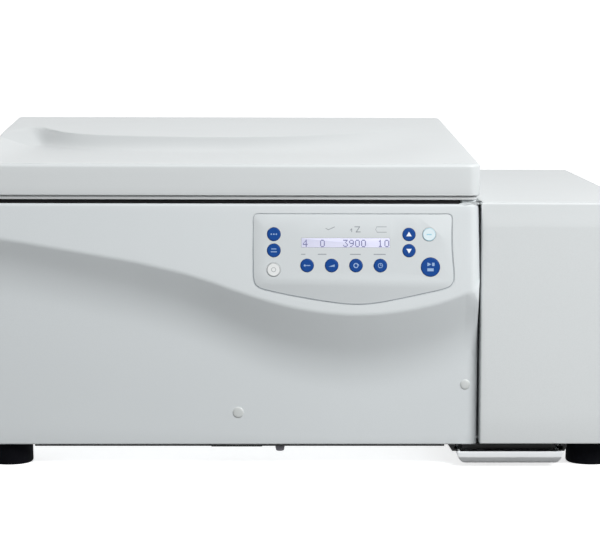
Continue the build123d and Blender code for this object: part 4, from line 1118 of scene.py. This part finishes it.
def build_overlay():
    film = Soup().add(prism(inset(OUTLINE, 0.62), -0.8, -0.02, 0.12, 2, 0.0), at=field).obj("control_overlay_film", [M["overlay"]])
    holes = Soup()
    for _, _, x, z, d in KEYS:
        holes.add(lathe([(0, 3), (d / 2 + 0.36, 3), (d / 2 + 0.36, -4), (0, -4)], 56), at=key_place(x, z))
    holes.add(prism(fillet2(box2(*LCD), 0.6, 4), -4, 3), at=field)
    cut(film, holes.obj("holes"))
    marks = Soup()

    def bar(x0, x1, z0, z1):
        marks.add(prism(box2(x0, x1, z0, z1), -0.05, 0.01), at=field)

    def stroke(points, w):
        for (a, b), (c, d) in zip(points, points[1:]):
            n = math.hypot(c - a, d - b) or 1.0
            ux, uz = (c - a) / n * w / 2, (d - b) / n * w / 2
            marks.add(prism([(a - ux + uz, b - uz - ux), (c + ux + uz, d + uz - ux), (c + ux - uz, d + uz + ux), (a - ux - uz, b - uz + ux)],
                            -0.05, 0.01), at=field)

    # generic marks: a tick, a small gauge, two bars; short underlines over the four set keys
    stroke([(22.9, 253.6), (25.6, 252.4), (31.9, 255.2)], 0.7)
    stroke([(48.4, 252.0), (49.8, 253.2), (49.8, 250.2)], 0.8)
    stroke([(53.2, 255.4), (58.0, 255.4), (54.6, 250.1), (58.6, 250.1)], 0.9)
    stroke([(76.0, 255.4), (86.0, 255.4)], 0.6)
    stroke([(76.4, 249.8), (86.0, 249.8)], 0.6)
    stroke([(76.0, 255.4), (74.8, 252.6), (76.4, 249.8)], 0.4)
    for x, w in ((-0.7, 4.3), (19.0, 9.0), (53.7, 11.0), (79.0, 12.6)):
        bar(x - w / 2, x + w / 2, 226.3, 227.3)
    # painted shade: a fine grey line round the field stands for the shadow in the groove at its edge, wider along its
    # lower side where the shade falls
    edge, n = [], len(OUTLINE)
    loop, groove_shade_outer = inset(OUTLINE, 0.72), inset(OUTLINE, 1.45)
    for k in range(n):
        t = ease((262.0 - OUTLINE[k][1]) / 60.0) if OUTLINE[k][0] < 100 else ease((272.0 - OUTLINE[k][1]) / 30.0)
        edge.append((lerp(loop[k][0], groove_shade_outer[k][0], 0.35 + 0.65 * t), lerp(loop[k][1], groove_shade_outer[k][1], 0.35 + 0.65 * t)))
    lv, lf = [], []
    for q in (-0.05, 0.01):
        lv += [(x, z, q) for x, z in loop] + [(x, z, q) for x, z in edge]
    for k in range(n):
        j = (k + 1) % n
        lf += [(k, j, n + j, n + k), (2 * n + k, 3 * n + k, 3 * n + j, 2 * n + j), (k, 2 * n + k, 2 * n + j, j), (n + k, n + j, 3 * n + j, 3 * n + k)]
    marks.add((lv, lf), at=field)
    m = marks.obj("overlay_print_and_groove_shade", [M["print_and_groove_shade"]])
    place(m, "frame", angle=30)
    return place(film, "frame", ["control_overlay"], 30)


build_overlay()


# ---------------------------------------------------------------- keys
def ring2(x, z, r, w, n=40):
    """A flat ring as a chain of quads, all one closed strip."""
    v, f = [], []
    for q in (-0.05, 0.02):
        for rr in (r - w / 2, r + w / 2):
            v += [(x + rr * math.cos(2 * math.pi * k / n), z + rr * math.sin(2 * math.pi * k / n), q) for k in range(n)]
    for k in range(n):
        j = (k + 1) % n
        f += [(k, j, n + j, n + k), (2 * n + k, 3 * n + k, 3 * n + j, 2 * n + j), (k, 2 * n + k, 2 * n + j, j), (n + k, n + j, 3 * n + j, 3 * n + k)]
    return v, f


def build_key(node, body, x, z, d):
    r = d / 2
    top = 0.62
    finish = {"button_short_spin": "key_pale", "button_lid_open": "key_grey"}.get(node, "key_blue")
    ink = {"button_short_spin": "print_cyan", "button_lid_open": "print_grey", "button_up": "print_white",
           "button_down": "print_white"}.get(node, "print_blue")
    s = Soup()
    s.add(lathe([(0, top), (0.45 * r, top + 0.03), (0.75 * r, top + 0.06), (r - 1.0, top + 0.07), (r - 0.5, top + 0.02), (r - 0.18, top - 0.14),
                 (r - 0.02, top - 0.4), (r, top - 0.8), (r, -3.2), (r + 1.2, -3.2), (r + 1.2, -4.2), (2.0, -4.2), (2.0, -7.2), (0, -7.2)], 64),
          0, at=key_place(x, z))

    def ink_at(u, v, w):
        return on_panel(x + u, z + v, top + 0.03 + w)

    def mark(poly):
        s.add(prism(poly, -0.1, 0.035), 1, at=ink_at)

    def dash(x0, x1, zz, w=0.9):
        mark(box2(x0, x1, zz - w / 2, zz + w / 2))

    if node == "button_up":
        mark([(-2.9, -1.9), (2.9, -1.9), (0, 2.9)])
    elif node == "button_down":
        mark([(-2.9, 1.9), (0, -2.9), (2.9, 1.9)])
    elif node == "button_left_top":
        for u in (-2.6, 0.0, 2.6):
            mark(disc2(u, 0, 0.8, 14))
    elif node == "button_left_middle":
        dash(-2.6, 2.6, 1.5)
        dash(-3.2, 3.2, -1.5)
    elif node == "button_set_1":
        mark(disc2(-2.4, 0, 1.1, 16))
        dash(-1.6, 3.4, 0, 0.8)
    elif node == "button_set_2":
        mark([(-3.2, -1.2), (3.2, -1.2), (3.2, 1.2)])
    elif node == "button_set_3":
        s.add(ring2(0, 0, 2.2, 0.9, 28), 1, at=ink_at)
        mark([(2.2, 1.9), (0.8, 0.5), (3.4, 0.2)])
    elif node == "button_set_4":
        s.add(ring2(0, 0, 2.3, 0.6, 28), 1, at=ink_at)
        mark(box2(-0.25, 0.25, -0.2, 1.7))
        mark(box2(-0.25, 1.4, -0.3, 0.25))
    elif node == "button_short_spin":
        s.add(ring2(0, 0, r - 0.85, 0.9, 48), 1, at=ink_at)
        dash(-2.6, 2.6, 0.0, 1.1)
    elif node == "button_lid_open":
        s.add(ring2(0, 0, r - 0.7, 0.8, 48), 1, at=ink_at)
        s.add(ring2(0, 0, 2.2, 0.8, 28), 1, at=ink_at)
    elif node == "button_start_stop":
        mark([(-3.2, 0.9), (0.9, 2.85), (-3.2, 4.8)])
        dash(1.7, 4.2, 2.85, 3.4)
        mark(box2(-3.3, 3.3, -4.3, -1.3))
    ob = s.obj(node + "_cap", [M[finish], M[ink]])
    return place(ob, body, [node], 34)


for node, body, x, z, d in KEYS:
    build_key(node, body, x, z, d)

# ---------------------------------------------------------------- display: window, module and plain digits
DOTS = {"0": ("01110", "10001", "10001", "10001", "10001", "10001", "01110"),
        "1": ("00100", "01100", "00100", "00100", "00100", "00100", "01110"),
        "3": ("11111", "00010", "00100", "00010", "00001", "10001", "01110"),
        "4": ("00010", "00110", "01010", "10010", "11111", "00010", "00010"),
        "9": ("01110", "10001", "10001", "01111", "00001", "00010", "01100")}


def build_display():
    x0, x1, z0, z1 = LCD
    s = Soup()
    s.add(prism(fillet2(box2(x0 + 0.16, x1 - 0.16, z0 + 0.16, z1 - 0.16), 0.5, 4), -3.2, -0.22, 0.08, 2, 0.0), 0, at=field)
    s.add(prism(fillet2(box2(-11, 97, 224.9, 254.6), 1.0, 4), -8.6, -3.2, 0.4, 2, 0.3), 2, at=field)
    for x, z in ((-8.4, 252.0), (94.4, 252.0), (-8.4, 227.5), (94.4, 227.5)):
        s.add(lathe([(0, -2.4), (1.3, -2.4), (1.7, -2.7), (1.7, -3.3), (0, -3.3)], 20), 2, at=key_place(x, z))
    for ch, x in (("4", 1.4), ("0", 19.3), ("3", 43.3), ("9", 49.6), ("0", 55.8), ("0", 62.2), ("1", 79.7), ("0", 86.5)):
        for j, row in enumerate(DOTS[ch]):
            for i, on in enumerate(row):
                if on == "1":
                    u, v = x + (i - 2) * 0.98, 238.2 + (3 - j) * 1.08
                    s.add(prism(box2(u - 0.49, u + 0.49, v - 0.53, v + 0.53), -0.3, -0.19), 1, at=field)
    ob = s.obj("display_panel", [M["display"], M["digits"], M["black_plastic"]])
    return place(ob, "frame", ["display_module"], 30)


build_display()

# blind plugs: a low dome on a round foot
s = Soup()
for x, z, r in ((-68.3, 57.7, 5.9), (171.0, 87.6, 5.4)):
    s.add(lathe([(0, 0.98), (r * 0.5, 0.95), (r - 1.2, 0.8), (r - 0.35, 0.5), (r - 0.03, 0.15), (r, 0.0), (r - 1.4, 0.0), (r - 1.4, -5.6), (r - 1.8, -6.9),
                 (0, -6.9)], 48), at=place_y(x, Y_LOWER, z))
place(s.obj("blind_plug_pair", [M["plug"]]), "frame", ["blind_plugs"], 35)

# ---------------------------------------------------------------- feet
s = Soup()
foot = round_profile([(4.0, 8.0), (9.0, 8.0), (9.0, 0.0), (FOOT_R, 0.0), (FOOT_R - 0.6, 28.0), (4.0, 28.0)],
                     [0.2, 0.6, 0.8, 3.0, 0.8, 0.2], 6)
for x in FOOT_X:
    for y in (-FOOT_Y, FOOT_Y):
        s.add(lathe(foot, 80), at=place_z(x, y))
place(s.obj("rubber_foot_set", [M["rubber"]]), "frame", ["rubber_feet"], 35)

# ---------------------------------------------------------------- seals
s = Soup()
s.add(lathe(round_profile([(OPEN_R + 0.6, Z_TOP), (OPEN_R + 11, Z_TOP), (OPEN_R + 10, Z_TOP + 2.5), (OPEN_R + 7, Z_TOP + 3.8),
                           (OPEN_R + 3.5, Z_TOP + 3.98), (OPEN_R + 1.2, Z_TOP + 2.7)], [0.1, 0.2, 0.8, 1.2, 1.2, 0.6], 3), 160),
      at=place_z(XC, YC))
# the black seal strip along the front edge: its near-black colour is partly the rubber's own and partly painted shade
# for the shadowed gap under the lid
s.add(prism(rounded(-340, 163.5, -288.6, -284.6, 1.9), Z_TOP, Z_TOP + 3.98, 1.2, 4, 0.0))
place(s.obj("lid_seal_set", [M["seal"]]), "frame", ["lid_seals"], 40)


# ---------------------------------------------------------------- lid liner: a tray with a dished middle
def build_liner():
    a = Soup().add(prism(rounded(X_LEFT + 3, X_BODY - 3, Y_LID_F + 3, Y_LID_R - 3, CORNER_R - 3), Z_LINER, Z_LID, 0.0, 3, 0.9)).obj(
        "lid_liner_tray", [M["liner"]])
    outer, inner = (rounded(X_LEFT + k, X_BODY - k, Y_LID_F + k, Y_LID_R - k, CORNER_R - k) for k in (4.35, 6.8))
    rim = Soup().add(prism(outer, Z_LID - 0.4, 294.9, 0.5, 2, 0.0)).obj("rim")
    cut(rim, Soup().add(prism(inner, 280, 300)).obj("rim_in"))
    cut(a, Soup().add(lathe([(0, 310), (183, 310), (183, 270), (0, 270)], 160), at=place_z(XC, YC)).obj("mouth"))
    cut(a, rim, op="UNION")
    dish = Soup().add(lathe(round_profile([(182.6, Z_LINER), (184.0, Z_LINER), (184.0, 297.0), (178.0, 305.5), (0, 305.5), (0, 303.0), (30, 303.0),
                                           (30, 299.0), (34, 299.0), (34, 303.0), (176.6, 303.0), (181.0, 296.2), (180.6, Z_LINER)],
                                          [0.3, 0.3, 3, 3, 0, 0, 0.8, 0.8, 0.8, 0.8, 3, 3, 0.6], 4), 160), at=place_z(XC, YC)).obj(
        "lid_liner_dish", [M["liner"]])
    place(dish, "lid", angle=35)
    return place(a, "lid", ["lid_liner"], 35)


build_liner()


# ---------------------------------------------------------------- sheet, cast and turned parts inside and behind
def finer(node, width=0.4, angle=38.0, seg=2, turn=32.0):
    """The part with its edges broken and its round faces smooth."""
    src = NODES[node]
    me = src.data.copy()
    me.name = node + "_finished"
    bm = bmesh.new()
    bm.from_mesh(me)
    bmesh.ops.remove_doubles(bm, verts=bm.verts, dist=2e-6)
    bmesh.ops.dissolve_degenerate(bm, dist=1e-6, edges=bm.edges)
    bmesh.ops.dissolve_limit(bm, angle_limit=math.radians(0.4), verts=bm.verts, edges=bm.edges)
    bmesh.ops.recalc_face_normals(bm, faces=bm.faces)
    bm.to_mesh(me)
    bm.free()
    finish = src.material_slots[0].material
    me.materials.clear()
    me.materials.append(finish)
    ob = bpy.data.objects.new(node + "_finished", me)
    bpy.context.scene.collection.objects.link(ob)
    if width > 0:
        soften(ob, width, angle, seg)
    return place(ob, src["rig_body"], [node], turn)


def build_chamber():
    s = Soup()
    profile = [(31.0, 139.0), (35.2, 139.0), (40.6, 100.4), (49.6, 92.5), (170.6, 92.5), (187.2, 98.8), (BOWL_R + 1.5, 113.4),
               (BOWL_R + 1.5, 274.0), (214.0, 274.0), (214.0, 275.5), (BOWL_R, 275.5), (BOWL_R, 114.2), (186.0, 100.2),
               (170.0, 94.0), (50.2, 94.0), (42.0, 101.2), (36.4, 140.5), (31.0, 140.5)]
    radii = [0.3, 1.5, 4.5, 5.0, 9.0, 9.0, 9.0, 1.4, 0.4, 0.4, 1.6, 9.0, 9.0, 9.0, 5.0, 4.5, 1.5, 0.3]
    s.add(lathe(round_profile(profile, radii, 4), 144), at=place_z(XC, YC))
    return place(s.obj("rotor_chamber_spun", [M["stainless"]]), "frame", ["rotor_chamber"], 35)


for node, width in (("top_deck", 0.9), ("base_plate", 0.5), ("armour_ring", 0.8), ("motor_housing", 0.8), ("compressor", 1.2),
                    ("condenser", 0.15), ("fan_shroud", 0.6), ("power_entry", 0.5), ("power_electronics", 0.3), ("hinge_brackets", 0.5),
                    ("latch_guides", 0.4), ("lid_insulation", 1.0), ("lid_hinge_leaves", 0.5), ("lid_strikers", 0.4), ("drive_shaft", 0.4),
                    ("rotor_head", 0.9), ("rotor_nut", 0.6), ("bucket_1", 0.5), ("bucket_2", 0.5), ("bucket_3", 0.5), ("bucket_4", 0.5),
                    ("condenser_fan", 0.3), ("power_switch", 0.4), ("control_board", 0.15),
                    ("chassis_screws", 0.3), ("chamber_insulation", 1.0), ("motor_mounts", 0.6), ("hinge_pins", 0.3), ("motor_bearings", 0.3),
                    ("lid_springs", 0.0), ("refrigerant_pipes", 0.0), ("evaporator_coil", 0.0), ("drain_tube", 0.0)):
    finer(node, width)


# ---------------------------------------------------------------- drip tray, its runners, bracket, and a black skirt that is partly painted shade
def along_y(u, v, w):
    return (u, w, v)


def along_x(u, v, w):
    return (w, u, v)


TY0, TY1 = -291.0, -92.0


def build_tray():
    s = Soup()
    # bottom: one bent section, drawn back from the front wall
    section = [(164.4, 16.6), (164.4, 15.9), (162.8, 15.4), (166.0, 7.6), (171.4, 4.5), (266.9, 4.5),
               (270.4, 7.6), (273.5, 15.4), (272.0, 15.9), (272.0, 16.6), (269.9, 16.6), (269.9, 15.4),
               (268.6, 8.6), (265.9, 6.5), (172.4, 6.5), (167.9, 8.6), (166.5, 15.4), (166.5, 16.6)]
    radii = [0.3, 0.2, 0.5, 2.6, 3.0, 3.0, 2.6, 0.5, 0.2, 0.3, 0.3, 0.5, 2.0, 2.0, 2.0, 2.0, 0.5, 0.3]
    s.add(prism(fillet2(section, radii, 4), TY0 + 6.0, TY1 - 0.5, 0.0), at=along_y)
    for x0, x1 in ((161.6, 165.2), (271.2, 274.6)):
        s.add(rbox(x0, x1, TY0 + 26.0, TY1 - 0.6, 18.5, 20.6, 0.6))
    # sides: their upper part starts further back than the front wall
    for x0, x1 in ((164.4, 166.5), (269.9, 272.0)):
        s.add(rbox(x0, x1, TY0 + 40.0, TY1 - 0.5, 15.6, 20.6, 0.4))
    # rear wall
    back = fillet2([(166.0, 8.0), (171.4, 5.2), (266.9, 5.2), (270.4, 8.0), (271.6, 20.2), (164.8, 20.2)], [2, 2, 2, 2, 0.6, 0.6], 4)
    s.add(prism(back, TY1 - 2.0, TY1, 0.4), at=along_y)
    # front wall: upright above, curving under at its foot; rings run from the rear lower edge round the outside and down inside
    rise = [(6.6, 6.5), (5.0, 6.9), (3.4, 8.2), (2.3, 9.9), (2.0, 11.4), (2.0, TRAY_FRONT - 0.5), (1.5, TRAY_FRONT), (0.5, TRAY_FRONT),
            (0.0, TRAY_FRONT - 0.5), (0.0, 11.7), (0.12, 11.2), (0.45, 10.6), (1.4, 9.2), (2.6, 7.4), (3.9, 5.6), (4.8, 4.8), (6.6, 4.5)]
    v, f, n = [], [], len(rise)
    ends = [(4.5, 171.4, 266.9), (5.4, 168.6, 269.3), (7.0, 166.6, 271.0), (9.0, 165.2, 272.4), (11.4, 163.9, 273.4), (TRAY_FRONT, 162.3, 274.8)]

    def end_x(z, side):
        return pchip([(e[0], e[1 + side]) for e in ends])(z)

    cols = [0.0, 0.004, 0.02, 0.06, 0.2, 0.4, 0.6, 0.8, 0.94, 0.98, 0.996, 1.0]
    for t in cols:
        for dy, z in rise:
            x0, x1 = end_x(z, 0), end_x(z, 1)
            soft = 0.5 if t in (0.0, 1.0) else 0.0
            v.append((lerp(x0, x1, t), TY0 + dy + (soft if dy < 1.0 else 0.0), z - (soft if z > TRAY_FRONT - 0.2 else 0.0)))
    for i in range(len(cols) - 1):
        for k in range(n):
            j = (k + 1) % n
            f.append((i * n + k, i * n + j, (i + 1) * n + j, (i + 1) * n + k))
    f.append(tuple(range(n)))
    f.append(tuple(range((len(cols) - 1) * n, len(cols) * n))[::-1])
    s.add((v, f))
    return place(s.obj("drip_tray_shell", [M["tray"]]), "tray", ["drip_tray"], 35)


build_tray()


def build_brackets():
    s = Soup()
    rail = [(153, 28.0), (153, 23.8), (158.4, 15.8), (163.9, 15.8), (163.9, 17.9), (160.6, 17.9), (160.6, 21.2), (163, 21.2), (163, 28.0)]
    radii = [0.3, 2.0, 1.2, 0.4, 0.4, 0.5, 0.5, 0.3, 0.3]
    s.add(prism(fillet2(rail, radii, 3), -279.0, -90.0, 0.3), at=along_y)
    right = [(280.4, 28.0), (280.4, 22.6), (277.8, 15.8), (272.4, 15.8), (272.4, 17.9), (275.6, 17.9), (275.6, 21.2), (273.2, 21.2), (273.2, 28.0)]
    s.add(prism(fillet2(right, radii, 3), -279.0, -90.0, 0.3), at=along_y)
    # black plates across the band over the tray front: partly real runner cross bars, partly painted shade filling the
    # band that lies in shadow
    s.add(rbox(162.5, 179.8, -279.0, -275.0, 24.0, 28.0, 0.4))
    s.add(rbox(188.4, 273.7, -279.0, -275.0, 24.0, 28.0, 0.4))
    s.add(rbox(168.6, 267.8, -279.0, -277.0, 17.4, 24.2, 0.4))
    s.add(rbox(162.5, 273.7, -91.6, -90.0, 21.5, 28.0, 0.4))
    # black skirt along the front foot: partly a real flange, partly painted shade for the shadow line under the panel
    s.add(rbox(-283, 150, -279.7, -277.0, 21.3, 28.0, 0.5))
    ob = s.obj("underside_runner_set", [M["black_plastic"]])
    place(ob, "frame", ["underside_brackets"], 35)
    b = Soup().add(rbox(-97, -43, -277.4, -262, 20.2, 28.0, 0.6)).obj("front_bracket", [M["black_plastic"]])
    cut(b, Soup().add(rbox(-95, -45, -275.9, -255, 21.7, 32.0, 0.4)).obj("inside"))
    arm = Soup().add(rbox(-43.5, -12, -277.4, -260, 26.4, 28.0, 0.4)).obj("arm")
    cut(arm, Soup().add(lathe([(0, 20), (2.9, 20), (2.9, 40), (0, 40)], 32), at=place_z(-24, -268)).obj("hole"))
    cut(b, arm, op="UNION")
    return place(b, "frame", angle=35)


build_brackets()

s = Soup()
s.add(lathe(round_profile([(0, 14.6), (3.5, 14.6), (4.3, 15.4), (5.0, 19.0), (5.0, 23.8), (4.4, 24.8), (2.6, 24.8), (2.6, 46.0), (5.0, 46.0),
                           (5.0, 49.0), (0, 49.0)], [0, 0.5, 0.8, 2, 0.6, 0.5, 0.2, 0.2, 0.3, 0.3, 0], 4), 48), at=place_z(-24.0, -268.0))
place(s.obj("release_pull_knob", [M["pull"]]), "release", ["release_pull"], 35)


# ---------------------------------------------------------------- camera, floor and light
cam = bpy.data.objects.new("camera", bpy.data.cameras.new("camera"))
bpy.context.scene.collection.objects.link(cam)
yaw, pitch, roll = math.radians(-1.158), math.radians(5.704), math.radians(0.194)
right = Vector((math.cos(yaw), math.sin(yaw), 0))
ahead = Vector((-math.sin(yaw), math.cos(yaw), 0))
fwd = ahead * math.cos(pitch) - Vector((0, 0, 1)) * math.sin(pitch)
up = ahead * math.sin(pitch) + Vector((0, 0, 1)) * math.cos(pitch)
r2 = right * math.cos(roll) + up * math.sin(roll)
u2 = up * math.cos(roll) - right * math.sin(roll)
cam.matrix_world = Matrix(((r2.x, u2.x, -fwd.x, -0.0561), (r2.y, u2.y, -fwd.y, -2.8744), (r2.z, u2.z, -fwd.z, 0.4677), (0, 0, 0, 1)))
cam.data.sensor_width = 36.0
cam.data.lens = 148.94
cam.data.clip_start, cam.data.clip_end = 0.05, 1000.0
bpy.context.scene.camera = cam

floor_mat, nt, bs, co = graph("floor")
nt.links.new(mix_colour(nt, noise(nt, co, 3.0), (0.93, 0.93, 0.93, 1), (0.95, 0.95, 0.95, 1)), bs.inputs["Base Color"])
bs.inputs["Roughness"].default_value = 0.9
bs.inputs["Specular IOR Level"].default_value = 0.1
bs.inputs["Emission Color"].default_value = (1, 1, 1, 1)
bs.inputs["Emission Strength"].default_value = 0.7
me = bpy.data.meshes.new("floor")
me.from_pydata([(400 * math.cos(2 * math.pi * k / 64), 400 * math.sin(2 * math.pi * k / 64), 0) for k in range(64)], [], [tuple(range(64))])
me.materials.append(floor_mat)
floor = bpy.data.objects.new("floor", me)
bpy.context.scene.collection.objects.link(floor)
floor.visible_diffuse = False

world = bpy.data.worlds.new("studio")
bpy.context.scene.world = world
world.use_nodes = True
nt = world.node_tree
nt.nodes.clear()
out = nt.nodes.new("ShaderNodeOutputWorld")
bg = nt.nodes.new("ShaderNodeBackground")
nt.links.new(bg.outputs[0], out.inputs[0])
tc = nt.nodes.new("ShaderNodeTexCoord")
sep = nt.nodes.new("ShaderNodeSeparateXYZ")
nt.links.new(tc.outputs["Generated"], sep.inputs[0])
mr = nt.nodes.new("ShaderNodeMapRange")
mr.inputs["From Min"].default_value, mr.inputs["From Max"].default_value = -1.0, 1.0
nt.links.new(sep.outputs[2], mr.inputs["Value"])


def sky(stops):
    """Brightness over the height of the direction (-1 straight down, 1 straight up)."""
    r = nt.nodes.new("ShaderNodeValToRGB")
    el = r.color_ramp.elements
    while len(el) > 1:
        el.remove(el[-1])
    for i, (z, c) in enumerate(stops):
        e = el[0] if i == 0 else el.new((z + 1) / 2)
        e.position = (z + 1) / 2
        e.color = (c * 0.985, c, c * 1.005, 1)
    nt.links.new(mr.outputs[0], r.inputs[0])
    return r.outputs[0]


BACK = sky([(-1, 0.03), (-0.12, 0.03), (-0.03, 1.12), (0.02, 1.15), (0.052, 1.08), (0.067, 0.88), (0.1, 0.76), (0.135, 0.78), (0.18, 1.3), (0.3, 1.2),
            (0.5, 0.45), (1, 0.26)])
FRONT = sky([(-1, 0.02), (-0.1, 0.02), (0.0, 0.22), (0.3, 0.36), (0.6, 0.42), (1, 0.34)])
side = nt.nodes.new("ShaderNodeMapRange")
side.inputs["From Min"].default_value, side.inputs["From Max"].default_value = -0.25, 0.45
side.interpolation_type = "SMOOTHSTEP"
nt.links.new(sep.outputs[1], side.inputs["Value"])
nt.links.new(mix_colour(nt, side.outputs[0], FRONT, BACK), bg.inputs["Color"])
bg.inputs["Strength"].default_value = 1.0


def lamp(name, loc, target, size, power, colour=(1, 1, 1)):
    d = bpy.data.lights.new(name, "AREA")
    d.shape, d.size = "DISK", size
    d.energy = power
    d.color = colour
    o = bpy.data.objects.new(name, d)
    o.location = loc
    o.rotation_mode = "QUATERNION"
    o.rotation_quaternion = (Vector(target) - Vector(loc)).to_track_quat("-Z", "Y")
    bpy.context.scene.collection.objects.link(o)
    return o


lamp("key", (1.4, -2.27, 2.0), (0.0, -0.2, 0.2), 1.6, 101.0)

sc = bpy.context.scene
sc.view_settings.view_transform = "Standard"
sc.view_settings.look = "None"
sc.view_settings.exposure = 0.0
sc.view_settings.gamma = 1.0
